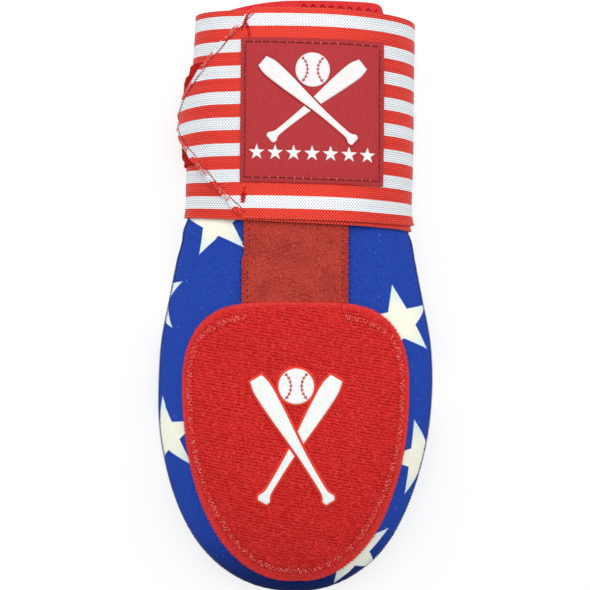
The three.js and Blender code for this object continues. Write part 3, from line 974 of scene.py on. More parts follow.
def rib_knit():
    """Brushed polyester rib knit: no gloss, and fluff that hides the ribs in places.

    Along the edge the knit is teased, so there it is lighter and shows no ribs."""
    material, tree = new_material("knit_red_polyester", Roughness=0.95, Specular_IOR_Level=0.02)
    cloth = add(tree, "UVMap", {}, "UV", uv_map="cloth")
    place = add(tree, "TexCoord", {}, "Object")
    rim = add(tree, "UVMap", {}, "UV", uv_map="edge")
    rim = add(tree, "SeparateXYZ", {0: rim}, "X")
    x, y = (add(tree, "SeparateXYZ", {0: cloth}, axis) for axis in "XY")
    noises = []
    for size_mm, detail in ((FUZZ, 3.0), (PILL, 2.0), (DRIFT, 2.0)):
        rough = {"Vector": place, "Scale": per_metre(size_mm), "Detail": detail}
        noises.append(add(tree, "TexNoise", rough, "Fac"))
    fuzz, pill, drift = noises
    pushed = add(tree, "Math", {0: drift, 1: DRIFT_REACH, 2: y}, operation="MULTIPLY_ADD")
    phase = add(tree, "Math", {0: pushed, 1: 2 * math.pi / RIB_PITCH}, operation="MULTIPLY")
    wave = add(tree, "Math", {0: phase}, operation="COSINE")
    crest = add(tree, "MapRange", {0: wave, 1: -1.0, 2: 0.4}, **SOFT_STEP)
    clear = add(tree, "MapRange", {0: pill, 1: 0.34, 2: 0.6, 3: 0.6, 4: 1.0}, **SOFT_STEP)
    inner = add(tree, "MapRange", {0: rim, 1: 1.05, 2: 0.8}, **SOFT_STEP)
    clear = add(tree, "Math", {0: clear, 1: inner}, operation="MULTIPLY")
    # Painted shade: the grooves between the ribs are drawn darker, less where the fluff is thick and
    # near the edge.
    groove_shade = add(tree, "Math", {0: 1.0, 1: crest}, operation="SUBTRACT")
    groove_shade = add(tree, "Math", {0: groove_shade, 1: clear}, operation="MULTIPLY")
    teased = add(tree, "MapRange", {0: rim, 1: 0.84, 2: 1.0, 4: 0.4}, **SOFT_STEP)
    slant = add(tree, "Math", {0: x, 1: 2 * math.pi / STITCH_WIDTH, 2: phase}, operation="MULTIPLY_ADD")
    stitch = add(tree, "Math", {0: slant}, operation="SINE")
    # Painted shade between the slanting stitches of each rib.
    between = add(tree, "MapRange", {0: stitch, 1: 0.2, 2: -1.0, 4: 0.5}, **SOFT_STEP)
    loop_x = add(tree, "Math", {0: x, 1: LOOP_LENGTH}, operation="DIVIDE")
    loop_y = add(tree, "Math", {0: y, 1: RIB_PITCH}, operation="DIVIDE")
    loops = add(tree, "CombineXYZ", {0: loop_x, 1: loop_y})
    yarn = add(tree, "TexNoise", {"Vector": loops, "Scale": 1.0, "Detail": 2.0}, "Fac")
    brushed = add(tree, "MapRange", {0: yarn, 1: 0.48, 2: 0.72, 4: 0.5}, **SOFT_STEP)
    # Painted shade in the hollows of the fluff.
    hollow_shade = add(tree, "MapRange", {0: fuzz, 1: 0.48, 2: 0.32, 4: 0.5}, **SOFT_STEP)
    tufts = add(tree, "MapRange", {0: fuzz, 1: 0.53, 2: 0.68, 4: 0.45}, **SOFT_STEP)
    layers = (
        (groove_shade, "#960f10"),
        (teased, "#e4504b"),
        (between, "#bd1d1d"),
        (brushed, "#ec4a45"),
        (hollow_shade, "#a01011"),
        (tufts, "#f45c55"),
    )
    red = linear("#de2e2d")
    for share, hex_colour in layers:
        laid = {"Factor": share, "A": red, "B": linear(hex_colour)}
        red = add(tree, "Mix", laid, "Result", **COLOURS)
    relief = add(tree, "Math", {0: fuzz, 1: 1.6, 2: crest}, operation="MULTIPLY_ADD")
    bump = add(tree, "Bump", {"Height": relief, "Strength": 0.3, "Distance": 0.3 * MM}, "Normal")
    return finish(material, red, bump)


pad, pad_flat = bent_cloth(
    "knit_pad", *PAD_CELLS, pad_place, "red_knit", "slide_pad", cloth_map=pad_map)
write_map(pad.data, "edge", pad_edge_map(pad_flat[:, 0], pad_flat[:, 1]))
pad.data.materials.append(rib_knit())
soften_edges(pad, width_mm=0.25)

# %% [markdown]
# The pad is sewn on with a zigzag in thin pink thread, 3.5 mm inside its edge at the sides and
# further in at the top and the bottom. It starts at the left end of the top edge, goes down the
# left side, round the bottom and up to the right end of the top. The top edge stays open. Here
# and there the thread sinks into the fluffy knit.

# %% Zigzag round the pad
PAD_SEAM_INSET = 3.5
PAD_SEAM_TOP = (3.0, (-18, -2))
PAD_SEAM_BOTTOM = (2.7, (-60, -130))
PAD_SEAM_TOP_X = 24.0
PAD_SEAM_PITCH = 2.25
PAD_SEAM_REACH = 1.6
PAD_HOLE_OVER = 0.16
# The needle holes in the knit are painted as dark beads of shade.
KNIT_HOLE_SHADE = thread_material("needle_hole_shade_in_knit", "#5c0c0e", "#8b1315")


def pad_seam_route():
    """Points of the seam's middle line and its inward directions, from top left to top right."""
    half, y = pad_outline(count=2000)
    right = np.stack([PAD_X + half, y], axis=1)
    outline = np.concatenate([(right * (-1, 1) + (2 * PAD_X, 0))[::-1], right])
    tangent = np.gradient(outline, axis=0)
    tangent /= np.linalg.norm(tangent, axis=1, keepdims=True)
    inward = np.stack([-tangent[:, 1], tangent[:, 0]], axis=1)
    inset = PAD_SEAM_INSET
    for deeper, stretch in (PAD_SEAM_TOP, PAD_SEAM_BOTTOM):
        inset = inset + deeper * ramp(outline[:, 1], stretch)
    route = outline + inward * inset[:, None]
    kept = np.abs(route[:, 0] - PAD_X) > np.where(route[:, 1] > PAD_WIDEST_Y, PAD_SEAM_TOP_X, -1)
    return route[kept], inward[kept]


def pad_zigzag():
    route, inward = pad_seam_route()
    length = lengths_along(route)
    along, across, height = zigzag(
        length[-1], PAD_SEAM_PITCH, PAD_SEAM_REACH, rise=0.42, dip=0.25, seed=11, loose=0.25,
        sunk=0.42)
    x = np.interp(along, length, route[:, 0]) + across * np.interp(along, length, inward[:, 0])
    y = np.interp(along, length, route[:, 1]) + across * np.interp(along, length, inward[:, 1])
    # Beads of painted shade at the needle holes.
    holes = pad_top(x[::ZIGZAG_STEPS], y[::ZIGZAG_STEPS], PAD_HOLE_OVER)
    print("pad seam is", round(length[-1]), "mm long")
    line = pad_top(x, y, height)
    return [thread_piece("pad_zigzag", [line], PINK_THREAD, "red_knit", radius_mm=0.115),
            dot_piece("pad_needle_hole_shade", holes, KNIT_HOLE_SHADE, "red_knit", radius_mm=0.32,
                      flatness=0.4)]


pad_details = pad_zigzag()

# %% [markdown]
# Worn knit is fluffy. Short loose fibres lie along the ribs, and along the cut edge a fringe of
# them stands out past the teeth. They are thin threads with four sides, drawn by chance from a
# fixed seed so that each run gives the same ones.

# %% Fibres of the pad
FIBRE_COUNT = 1500
FRINGE_PITCH = 0.45
FRINGE_LONGER_AT = (-80, -120)
FIBRE_RADIUS = 0.08
FIBRE_RED = thread_material("fibre_light_red", "#cf2a2a", "#ea5a55")


def pad_fibres():
    draw = random.Random(21)
    lines = []
    while len(lines) < FIBRE_COUNT:
        y = draw.uniform(PAD_BOTTOM_Y + 2, PAD_TOP_Y - 1)
        half = float(pad_half_width(y)) - 0.5
        x = PAD_X + draw.uniform(-half, half)
        length = draw.uniform(0.6, 1.6)
        lean = draw.gauss(-RIB_SLOPE, 0.5)
        step = np.array([-0.5, 0.0, 0.5]) * length
        bow = np.array([0.0, draw.uniform(0.1, 0.35), 0.05])
        lines.append((x + step * math.cos(lean), y + step * math.sin(lean), RIB_HEIGHT * 0.6 + bow))
    flat = np.array(lines)
    return list(pad_top(flat[:, 0], flat[:, 1], flat[:, 2]))


def pad_fringe():
    draw = random.Random(22)
    x, y = pad_outline(count=1500)
    length = np.cumsum(np.hypot(np.diff(x, prepend=x[0]), np.diff(y, prepend=y[0])))
    lines = []
    for side in (-1, 1):
        for station in np.arange(0, length[-1], FRINGE_PITCH):
            at = station + draw.uniform(-0.2, 0.2)
            root_x, root_y = np.interp(at, length, x), np.interp(at, length, y)
            out_x = np.interp(at, length, np.gradient(y, length))
            out_y = -np.interp(at, length, np.gradient(x, length))
            far = draw.uniform(0.3, 0.7) * (1 + ramp(root_y, FRINGE_LONGER_AT))
            droop = draw.uniform(-0.5, 0.2)
            sway = draw.uniform(-0.3, 0.3)
            step = np.array([-0.6, 0.1, 1.0]) * far
            px = PAD_X + side * (root_x + out_x * step)
            py = root_y + out_y * step + sway * np.array([0, 0.3, 1.0])
            lines.append((px, py, np.array([-0.3, -0.5, -0.9 + droop])))
    flat = np.array(lines)
    return list(pad_top(flat[:, 0], flat[:, 1], flat[:, 2]))


pad_details.append(thread_piece(
    "pad_fibres", pad_fibres() + pad_fringe(), FIBRE_RED, "red_knit", FIBRE_RADIUS, sides=4))

# %% [markdown]
# ## Prints
# The mitt carries plain sports figures: two crossed bats and a ball on the pad, and the same on
# the label over a row of stars. On the pad they are cut from white heat-transfer film with a
# red-orange rim, so each figure is a thin sheet that follows the knit. A bat is a grid whose
# width follows a short profile. A ball is a square grid eased into a disc.

# %% Figures
BAT_COLUMNS = ("share", "half")
BAT_ROWS = (
    (0.0, 1.9),
    (0.03, 2.5),
    (0.055, 1.7),
    (0.09, 1.2),
    (0.35, 1.45),
    (0.55, 2.3),
    (0.75, 3.25),
    (0.92, 3.55),
    (1.0, 2.6),
)
BAT_PROFILE = named_columns(BAT_COLUMNS, BAT_ROWS)
FILM_PEBBLE = 1.1
BALL_CELLS = (16, 16)
LACE_BOW = 0.95
LACE_OFFSET = 1.25
LACE_SPREAD = math.radians(50)
TICK_SPREAD = math.radians(42)
TICK_COUNT = 7
TICK_REACH = 0.09
LACE_OVER = 0.05


def film(name, hex_colour, shade, roughness):
    """Polyurethane transfer film: smooth, a little glossier than cloth, with the knit under it."""
    return mottled_material(
        name, FILM_PEBBLE, (shade, hex_colour), ends=(0.3, 0.6), relief=(0.3, 0.12), detail=2.0,
        Roughness=roughness)


WHITE_FILM = film("film_white_polyurethane", "#f8faf7", "#edf0ec", 0.5)
ORANGE_FILM = film("film_red_orange_polyurethane", "#ee4030", "#d9352a", 0.5)
# Woven figures have the same slight unevenness as the film, and are duller.
WHITE_DAMASK = film("damask_white_polyester", "#f3efee", "#ebe6e5", 0.6)
print("made", WHITE_FILM.name + ",", ORANGE_FILM.name, "and", WHITE_DAMASK.name)


def figure(name, cells, outline, surface, base, thickness, material, slot):
    """A thin sheet: outline(u, v) gives its flat shape, surface(x, y, over) lays it down."""
    def place(u, v, depth):
        x, y = outline(u, v)
        return surface(x, y, base + thickness * depth)

    piece, _ = bent_cloth(name, *cells, place, slot)
    piece.data.materials.append(material)
    return piece


def bat_outline(length, tilt, cross, scale, grow, centre):
    """A bat whose point at the share cross of its length lies on the centre."""
    lean = math.radians(tilt)

    def outline(u, v):
        along = -grow + (length + 2 * grow) * v
        inside = np.clip(along, 0, length)
        past = np.abs(along - inside)
        rim = np.sqrt(np.maximum(0.01, grow**2 - past**2)) if grow else 0
        half = (scale * read_table(BAT_PROFILE, "share", "half", inside / length) + rim) * (2 * u - 1)
        reach = along - cross * length
        return (centre[0] + reach * math.sin(lean) + half * math.cos(lean),
                centre[1] + reach * math.cos(lean) - half * math.sin(lean))

    return outline


def disc_outline(radius, centre):
    def outline(u, v):
        a, b = 2 * u - 1, 2 * v - 1
        return (centre[0] + radius * a * np.sqrt(1 - b**2 / 2),
                centre[1] + radius * b * np.sqrt(1 - a**2 / 2))

    return outline


def lace_points(radius, side, centre, angle, reach):
    """Points round the middle of a ball's curved seam, which lies out beside the ball."""
    return (centre[0] + side * (radius * LACE_OFFSET - reach * np.cos(angle)),
            centre[1] + reach * np.sin(angle))


def ball_laces(radius, side, centre):
    """One curved seam of a ball, which bows to the ball's middle, and the stitches across it."""
    arc = LACE_SPREAD * np.linspace(-1, 1, 25)
    lines = [lace_points(radius, side, centre, arc, radius * LACE_BOW)]
    for angle in TICK_SPREAD * np.linspace(-1, 1, TICK_COUNT):
        bent = angle + np.array([0.06, -0.02, 0.06])
        reach = radius * LACE_BOW + radius * TICK_REACH * np.array([-1, 0, 1])
        lines.append(lace_points(radius, side, centre, bent, reach))
    return lines


def ball(name, radius, centre, surface, step, white, slot, rim=None, rim_width=0):
    made = []
    if rim is not None:
        outline = disc_outline(radius + rim_width, centre)
        made.append(figure(name + "_rim", BALL_CELLS, outline, surface, 0, step, rim, slot))
    outline = disc_outline(radius, centre)
    made.append(figure(name, BALL_CELLS, outline, surface, step * 0.5, step, white, slot))
    laces = ball_laces(radius, -1, centre) + ball_laces(radius, 1, centre)
    lines = [surface(x, y, step * 1.5 + LACE_OVER) for x, y in laces]
    made.append(thread_piece(name + "_seams", lines, RED_THREAD, slot, radius * 0.028, sides=4))
    return made


# %% Print on the pad
PAD_PRINT = (0.6, -69.0)
PAD_BAT_LENGTH = 70
PAD_BAT_TILT = 31
PAD_BAT_SCALE = 1.25
PAD_BALL_RADIUS = 8.6
PAD_BALL_OVER = 28.5
FILM_RIM = 1.25
FILM_STEP = 0.22
BAT_CROSS = 0.46
PAD_BAT_CELLS = (8, 90)


def pad_print():
    made = []
    for number, tilt in enumerate((PAD_BAT_TILT, -PAD_BAT_TILT)):
        name = "pad_bat_" + str(number + 1)
        base = 2 * FILM_STEP * number
        sheets = (
            (name + "_rim", FILM_RIM, base, ORANGE_FILM),
            (name, 0, base + FILM_STEP / 2, WHITE_FILM),
        )
        for sheet_name, grow, over, film_colour in sheets:
            bat = bat_outline(PAD_BAT_LENGTH, tilt, BAT_CROSS, PAD_BAT_SCALE, grow, PAD_PRINT)
            made.append(figure(
                sheet_name, PAD_BAT_CELLS, bat, pad_top, over, FILM_STEP, film_colour, "red_knit"))
    centre = (PAD_PRINT[0], PAD_PRINT[1] + PAD_BALL_OVER)
    return made + ball("pad_ball", PAD_BALL_RADIUS, centre, pad_top, FILM_STEP, WHITE_FILM,
                       "red_knit", ORANGE_FILM, FILM_RIM)


pad_details += pad_print()

# %% [markdown]
# ## Cuff
# The cuff is a sleeve of red neoprene under the strap. It starts as a tube operator's open
# cylinder, is divided along its length, and gets an inner wall by extruding and scaling. Its rim
# stands past the strap at the front and curves down at both sides. The zigzag that joins its
# seam shows as a row of small peaks just above the strap.

# %% Cuff sleeve
CUFF_SIDE_Y = 141
CUFF_LEFT, CUFF_LEFT_FULL = -43, 0
CUFF_RIGHT_FULL, CUFF_RIGHT = 30, 44
CUFF_RIGHT_BEND = 7
CUFF_AROUND = 160
CUFF_ROWS = 48


def red_neoprene():
    """Neoprene faced with red jersey: matt, with the same fine grain as the pouch."""
    return mottled_material(
        "neoprene_red_jersey", YARN, ("#c51d22", "#e03537"), ends=(0.3, 0.7), relief=(0.4, 0.15),
        Roughness=0.78, Sheen_Weight=0.2, Sheen_Roughness=0.5)


def cuff_rim_y(x):
    from_left = np.clip((x - CUFF_LEFT) / (CUFF_LEFT_FULL - CUFF_LEFT), 0, 1)
    past_right = np.clip((x - CUFF_RIGHT_FULL) / (CUFF_RIGHT - CUFF_RIGHT_FULL), 0, 1)
    left = np.sin(np.pi / 2 * from_left)
    right = np.sqrt(1 - past_right**CUFF_RIGHT_BEND)
    return CUFF_SIDE_Y + (RIM_Y - CUFF_SIDE_Y) * left * right


def cuff_place(turn, v, depth):
    rim = cuff_rim_y(skin(turn, RIM_Y)[..., 0])
    start = PANEL_END_Y + SEAM_GAP
    return lay(turn, start + (rim - start) * v, -NEOPRENE * (1 - depth))


def make_cuff():
    bm = bmesh.new()
    bmesh.ops.create_cone(bm, segments=CUFF_AROUND, radius1=1, radius2=1, depth=1, cap_ends=False)
    lengthwise = [edge for edge in bm.edges if abs(edge.verts[0].co.z - edge.verts[1].co.z) > 0.5]
    bmesh.ops.subdivide_edges(bm, edges=lengthwise, cuts=CUFF_ROWS - 1, use_grid_fill=True)
    grown = bmesh.ops.extrude_face_region(bm, geom=bm.faces[:], use_keep_orig=True)
    inner = [part for part in grown["geom"] if isinstance(part, bmesh.types.BMVert)]
    bmesh.ops.scale(bm, vec=(0.5, 0.5, 1), verts=inner)
    bmesh.ops.recalc_face_normals(bm, faces=bm.faces)
    mesh = mesh_from(bm, "cuff_sleeve")
    x, y, z = read_points(mesh).T
    depth = np.rint(np.hypot(x, y) * 2 - 1)
    turn = (np.arctan2(y, x) / (2 * np.pi) + 0.25) % 1
    write_points(mesh, cuff_place(turn, z + 0.5, depth))
    mesh.materials.append(red_neoprene())
    piece = new_object("cuff_sleeve", mesh, "red_neoprene", "cuff")
    soften_edges(piece, width_mm=0.7)
    print("cuff_sleeve", len(mesh.polygons), "faces")
    return piece


cuff = make_cuff()

# %% [markdown]
# ## Striped elastic strap
# The strap is knitted elastic 4 inches wide, wound about one and three quarter times round the
# wrist. Its outer turn runs over the first one and over the hook tab, and ends in a point. The
# middle line of the winding is a short table, with a row for about each quarter turn.

# %% The strap's route
STRAP_WIDTH = 101.6
STRAP_START_TURN = 0.02
TAPER_START_X = -22.7
TAPER_SLOPE = 1.09
TIP_HALF_WIDTH = 2.4
TIP_LIFT = 1.4
STRAP_EDGE_LIFT = 0.35
STRAP_COLUMNS = ("turn", "y")
STRAP_ROWS = (
    (0.0, 86.0),
    (0.25, 85.8),
    (0.5, 89.6),
    (0.75, 92.7),
    (1.0, 90.6),
    (1.25, 88.4),
    (1.5, 91.0),
    (1.62, 91.4),
    (1.8, 89.4),
)
STRAP_PATH = named_columns(STRAP_COLUMNS, STRAP_ROWS)
TAB_WIDTH = 50
TAB_THICKNESS = 1.6
TAB_BACKING = 0.8
TAB_Y = 92.9
TAB_FROM = 0.655
TAB_TO = 0.875
TAB_BORDER_TOP = (4.6, 5.4)
TAB_BORDER_BOTTOM = (2.6, 3.4)
TAB_LIFT_TOP = (0, 9)
TAB_LIFT_BOTTOM = (0, 25)
OVER_SELF = (0.9, 0.99)
OVER_TAB = (1 + TAB_FROM - 0.06, 1 + TAB_FROM - 0.005)
TIP_OPENS = (1.68, 1.77)
OVER_STRIP_SIDE = (14, 4)
OVER_STRIP_END = (13, 5)
OVER_STRIP_Z = 30
OVER_BULGE_END = (50, 42)
OVER_BULGE_Z = (5, 10)


def strap_middle(turn):
    return read_table(STRAP_PATH, "turn", "y", turn)


def strap_height(turn, y):
    """Height of the strap's inner face: over the first turn, the hook tab and the suede strip."""
    point = skin(turn, y)
    beside = ramp(np.abs(point[..., 0] - STRIP_CENTRE_X) - STRIP_WIDTH / 2, OVER_STRIP_SIDE)
    over_strip = beside * ramp(y - STRIP_STRAP_Y, OVER_STRIP_END) * (point[..., 2] > OVER_STRIP_Z)
    over_bulge = STRAP_EDGE_LIFT * ramp(y, OVER_BULGE_END) * ramp(point[..., 2], OVER_BULGE_Z)
    over_cloth = STRAP_LAYER * ramp(turn, OVER_SELF)
    over_cloth = over_cloth + (TAB_THICKNESS + STRAP_GAP) * ramp(turn, OVER_TAB)
    over_cloth = over_cloth + TIP_LIFT * ramp(turn, TIP_OPENS)
    return STRAP_GAP + over_bulge + over_cloth + (STRIP_THICKNESS + SEAM_GAP) * over_strip


def strap_point(turn, y, over):
    """A point at a height over the strap's outer face."""
    return lay(turn, y, strap_height(turn, y) + STRAP_THICKNESS + over)


def outer_turn(x, y):
    """Turn, past the first whole one, at which the strap's outer turn crosses a given x."""
    return 1 + turn_at_x(x, y, 2 * STRAP_LAYER)


ROUTE_Y = strap_middle(1.6)
TAPER_START = float(outer_turn(TAPER_START_X, ROUTE_Y))
ROUTE_TURNS = np.linspace(STRAP_START_TURN, 1.85, 4000)
ROUTE_POINTS = lay(ROUTE_TURNS, ROUTE_Y, strap_height(ROUTE_TURNS, ROUTE_Y))
ROUTE_LENGTHS = lengths_along(ROUTE_POINTS)
TAPER_START_LENGTH = np.interp(TAPER_START, ROUTE_TURNS, ROUTE_LENGTHS)
TAPER_LENGTH = (STRAP_WIDTH / 2 - TIP_HALF_WIDTH) / TAPER_SLOPE
STRAP_LENGTH = TAPER_START_LENGTH + TAPER_LENGTH
print("strap is", round(STRAP_LENGTH), "mm long, and its last", round(TAPER_LENGTH), "mm taper")

# %% [markdown]
# The stripes are knitted in: a narrow red edge, then eight white and seven red bands, then the
# other red edge. They follow the strap's own width, so they are drawn on its cloth map, whose
# second number is the distance from the upper edge in millimetres. Over the flat front the
# loops stand close and give a lattice of fine dots, and the dark dots are painted shade between
# the loops. Round the sides the elastic is bent, and there the ribs along its length show as
# lines: their grooves get painted shade, on the sides only.

# %% Elastic material
TOP_EDGE_RED = 2.9
WHITE_BAND = 6.08
RED_BAND = 6.45
# The real loops are about 1.05 mm apart along the strap, which is two pixels. Drawn that fine
# they show in some places only, so they are drawn coarser.
LOOP_ALONG, LOOP_ACROSS = 1.42, 1.7
ELASTIC_RIB = 1.05
ELASTIC_FUZZ = 0.55
STRIPE_EDGE = 0.12
RIB_SHADE_FROM_X = 14
RIB_SHADE_TO_X = 44


def stripes(tree, width, fuzz):
    """1 in the white bands and 0 in the red ones, with slightly ragged edges."""
    ragged = add(tree, "Math", {0: fuzz, 1: 0.35, 2: width}, operation="MULTIPLY_ADD")
    first_white = {0: ragged, 1: TOP_EDGE_RED + WHITE_BAND / 2 + 0.17}
    from_white = add(tree, "Math", first_white, operation="SUBTRACT")
    folded = add(tree, "Math", {0: from_white, 1: (WHITE_BAND + RED_BAND) / 2}, operation="PINGPONG")
    band = {0: folded, 1: WHITE_BAND / 2 + STRIPE_EDGE, 2: WHITE_BAND / 2 - STRIPE_EDGE}
    white = add(tree, "MapRange", band, **SOFT_STEP)
    past_edge = add(tree, "MapRange", {0: width, 1: TOP_EDGE_RED - 0.6, 2: TOP_EDGE_RED - 0.3})
    return add(tree, "Math", {0: white, 1: past_edge}, operation="MULTIPLY")


def lattice(tree, length, width):
    """Two sets of slanting lines that cross, whose meeting points are the elastic's loops."""
    lines = []
    for lean in (1, -1):
        turned = {0: width, 1: lean * 2 * math.pi / LOOP_ACROSS}
        across = add(tree, "Math", turned, operation="MULTIPLY")
        along = {0: length, 1: 2 * math.pi / LOOP_ALONG, 2: across}
        slant = add(tree, "Math", along, operation="MULTIPLY_ADD")
        lines.append(add(tree, "Math", {0: slant}, operation="SINE"))
    return add(tree, "Math", {0: lines[0], 1: lines[1]}, operation="ADD")


def striped_elastic():
    """Knitted elastic of polyester over rubber: a soft gloss, and painted shade in fine ribs and dots.
    """
    material, tree = new_material(
        "elastic_striped_knit", Roughness=0.7, Sheen_Weight=0.15, Sheen_Roughness=0.5)
    cloth = add(tree, "UVMap", {}, "UV", uv_map="cloth")
    place = add(tree, "TexCoord", {}, "Object")
    length, width = (add(tree, "SeparateXYZ", {0: cloth}, axis) for axis in "XY")
    rough = {"Vector": place, "Scale": per_metre(ELASTIC_FUZZ), "Detail": 3.0}
    fuzz = add(tree, "TexNoise", rough, "Fac")
    white_share = stripes(tree, width, fuzz)
    loops = lattice(tree, length, width)
    # Dark dots of painted shade between the loops.
    dots = add(tree, "MapRange", {0: loops, 1: -1.6, 2: 0.2}, **SOFT_STEP)
    # The rib grooves get painted shade only on the sides, where the strap bends round the mitt.
    aside = add(tree, "SeparateXYZ", {0: place}, "X")
    aside = add(tree, "Math", {0: aside}, operation="ABSOLUTE")
    bent = add(tree, "MapRange", {0: aside, 1: RIB_SHADE_FROM_X * MM, 2: RIB_SHADE_TO_X * MM})
    rib_turn = add(tree, "Math", {0: width, 1: 2 * math.pi / ELASTIC_RIB}, operation="MULTIPLY")
    rib = add(tree, "Math", {0: rib_turn}, operation="COSINE")
    groove_shade = add(tree, "MapRange", {0: rib, 1: 0.1, 2: -1.0}, **SOFT_STEP)
    groove_shade = add(tree, "Math", {0: groove_shade, 1: bent}, operation="MULTIPLY")
    bands = []
    # Each band gets painted shade in its dots and, on the sides, in its rib grooves.
    for dot_shade, yarn, sunk in (("#940f0b", "#f84634", "#ae1916"), ("#abb4bb", "#f9fbfc", "#bdc3ca")):
        shades = {"Factor": dots, "A": linear(dot_shade), "B": linear(yarn)}
        dotted = add(tree, "Mix", shades, "Result", **COLOURS)
        ribbed = {"Factor": groove_shade, "A": dotted, "B": linear(sunk)}
        bands.append(add(tree, "Mix", ribbed, "Result", **COLOURS))
    banded = {"Factor": white_share, "A": bands[0], "B": bands[1]}
    colour = add(tree, "Mix", banded, "Result", **COLOURS)
    from_middle = add(tree, "Math", {0: width, 1: STRAP_WIDTH / 2}, operation="SUBTRACT")
    from_middle = add(tree, "Math", {0: from_middle}, operation="ABSOLUTE")
    edge = {0: from_middle, 1: STRAP_WIDTH / 2 - 0.7, 2: STRAP_WIDTH / 2 - 0.3}
    selvedge = add(tree, "MapRange", edge, **SOFT_STEP)
    loop_edge = add(tree, "MapRange", {0: loops, 1: 0.0, 2: 1.4, 4: 0.45}, **SOFT_STEP)
    picot = add(tree, "Math", {0: selvedge, 1: loop_edge}, operation="MULTIPLY")
    edged = {"Factor": picot, "A": colour, "B": linear("#f58f84")}
    colour = add(tree, "Mix", edged, "Result", **COLOURS)
    sunk = add(tree, "Math", {0: groove_shade, 1: -0.9}, operation="MULTIPLY")
    relief = add(tree, "Math", {0: dots, 1: 0.5, 2: sunk}, operation="MULTIPLY_ADD")
    bump = add(tree, "Bump", {"Height": relief, "Strength": 0.5, "Distance": 0.2 * MM}, "Normal")
    return finish(material, colour, bump)


ELASTIC = striped_elastic()
print("made", ELASTIC.name)

# %% Strap
STRAP_CELLS = (56, 380)


def strap_half(length):
    return STRAP_WIDTH / 2 - TAPER_SLOPE * np.maximum(0, length - TAPER_START_LENGTH)


def strap_place(u, v, depth):
    length = STRAP_LENGTH * v
    turn = np.interp(length, ROUTE_LENGTHS, ROUTE_TURNS)
    y = strap_middle(turn) + strap_half(length) * (2 * u - 1)
    return lay(turn, y, strap_height(turn, y) + STRAP_THICKNESS * depth)


def strap_map(u, v):
    length = STRAP_LENGTH * v
    return np.stack([length, STRAP_WIDTH / 2 - strap_half(length) * (2 * u - 1)], axis=1)


strap, _ = bent_cloth("elastic_strap", *STRAP_CELLS, strap_place, "striped_elastic",
                      "wrap_strap", cloth_map=strap_map)
strap.data.materials.append(ELASTIC)
soften_edges(strap, width_mm=0.45)

# %% [markdown]
# At the point both corners of the elastic are folded under and stitched down. The fold is
# thicker than the rest, so it stands up as a rounded hem along both slanting edges. The bands
# step outwards at the fold, and a line of red thread runs just inside it.

# %% Hems of the strap's point
HEM_WIDTH = 1.9
HEM_RISE = 0.42
HEM_STEP = 0.75
HEM_BULGE = 0.7
HEM_FROM = 2.2
HEM_SHIFT = 0.8
HEM_DEPTH = 0.9
HEM_OUT = 0.2
HEM_CELLS = (8, 260)
HEM_SLANT = math.atan(TAPER_SLOPE)
HEM_LENGTH = TAPER_LENGTH / math.cos(HEM_SLANT)
SIDES = {"upper": 1, "lower": -1}


def hem_point(side, along, inward, over):
    """Point of the strap measured along a slanting edge and inwards from it."""
    past = along * math.cos(HEM_SLANT) - inward * math.sin(HEM_SLANT)
    off_middle = STRAP_WIDTH / 2 - along * math.sin(HEM_SLANT) - inward * math.cos(HEM_SLANT)
    turn = np.interp(TAPER_START_LENGTH + past, ROUTE_LENGTHS, ROUTE_TURNS)
    y = strap_middle(turn) + side * off_middle
    return strap_point(turn, y, over), np.stack([past, STRAP_WIDTH / 2 - side * off_middle], axis=-1)


def hem_bands(along):
    """Share of the way through the band that the hem shows, and whether the band is white."""
    past_edge = along * math.sin(HEM_SLANT) + HEM_SHIFT - TOP_EDGE_RED
    bands = past_edge / ((WHITE_BAND + RED_BAND) / 2)
    return np.mod(bands, 1), np.mod(np.floor(bands), 2) == 0


def hem_reach(side, along):
    """How far the folded edge stands out. It steps above, and bulges in the white bands below."""
    share, white = hem_bands(along)
    if side > 0:
        return HEM_STEP * (1 - share) * np.where(white, 1, 0.7)
    return HEM_BULGE * np.where(white, 1.2, 0.5) * np.sqrt(np.sin(np.pi * share))


def make_hem(name, side):
    def place(u, v, depth):
        across = 2 * u - 1
        along = HEM_FROM + (HEM_LENGTH - HEM_FROM) * v
        inward = HEM_WIDTH * (1 - u) - hem_reach(side, along) * np.maximum(0, across) - HEM_OUT
        crown = HEM_RISE * np.sqrt(np.maximum(0.02, 1 - across**2))
        return hem_point(side, along, inward, -HEM_DEPTH + depth * (HEM_DEPTH + crown))[0]

    def cloth_map(u, v):
        flat = hem_point(side, HEM_FROM + (HEM_LENGTH - HEM_FROM) * v, HEM_WIDTH * (1 - u), 0)[1]
        return flat + np.array([0, -side * HEM_SHIFT])

    hem, _ = bent_cloth(name, *HEM_CELLS, place, "striped_elastic", cloth_map=cloth_map)
    hem.data.materials.append(ELASTIC)
    return hem


hems = [make_hem("strap_hem_" + name, side) for name, side in SIDES.items()]

# %% Thread of the hems
HEM_STITCH = 2.6
HEM_STITCH_STEPS = 6
HEM_FIBRES = 420
HEM_THREAD = thread_material("thread_hem_rose", "#98242a", "#cf5a5c")
HEM_FIBRE = thread_material("fibre_pink_red", "#e04b45", "#f8a8a1")
BARTACK_RED = thread_material("thread_bartack_red", "#a5181c", "#d22f2c")
CUFF_THREAD = thread_material("thread_cuff_dark_red", "#851216", "#a81c20")


def running_stitch(length, stitch, rise, dip, steps):
    """Straight seam: lengths along it and heights of its thread over the cloth."""
    count = int(length / stitch)
    step = np.arange(count * steps + 1) / steps
    return step * stitch, -dip + (rise + dip) * np.sqrt(np.abs(np.sin(np.pi * step)))


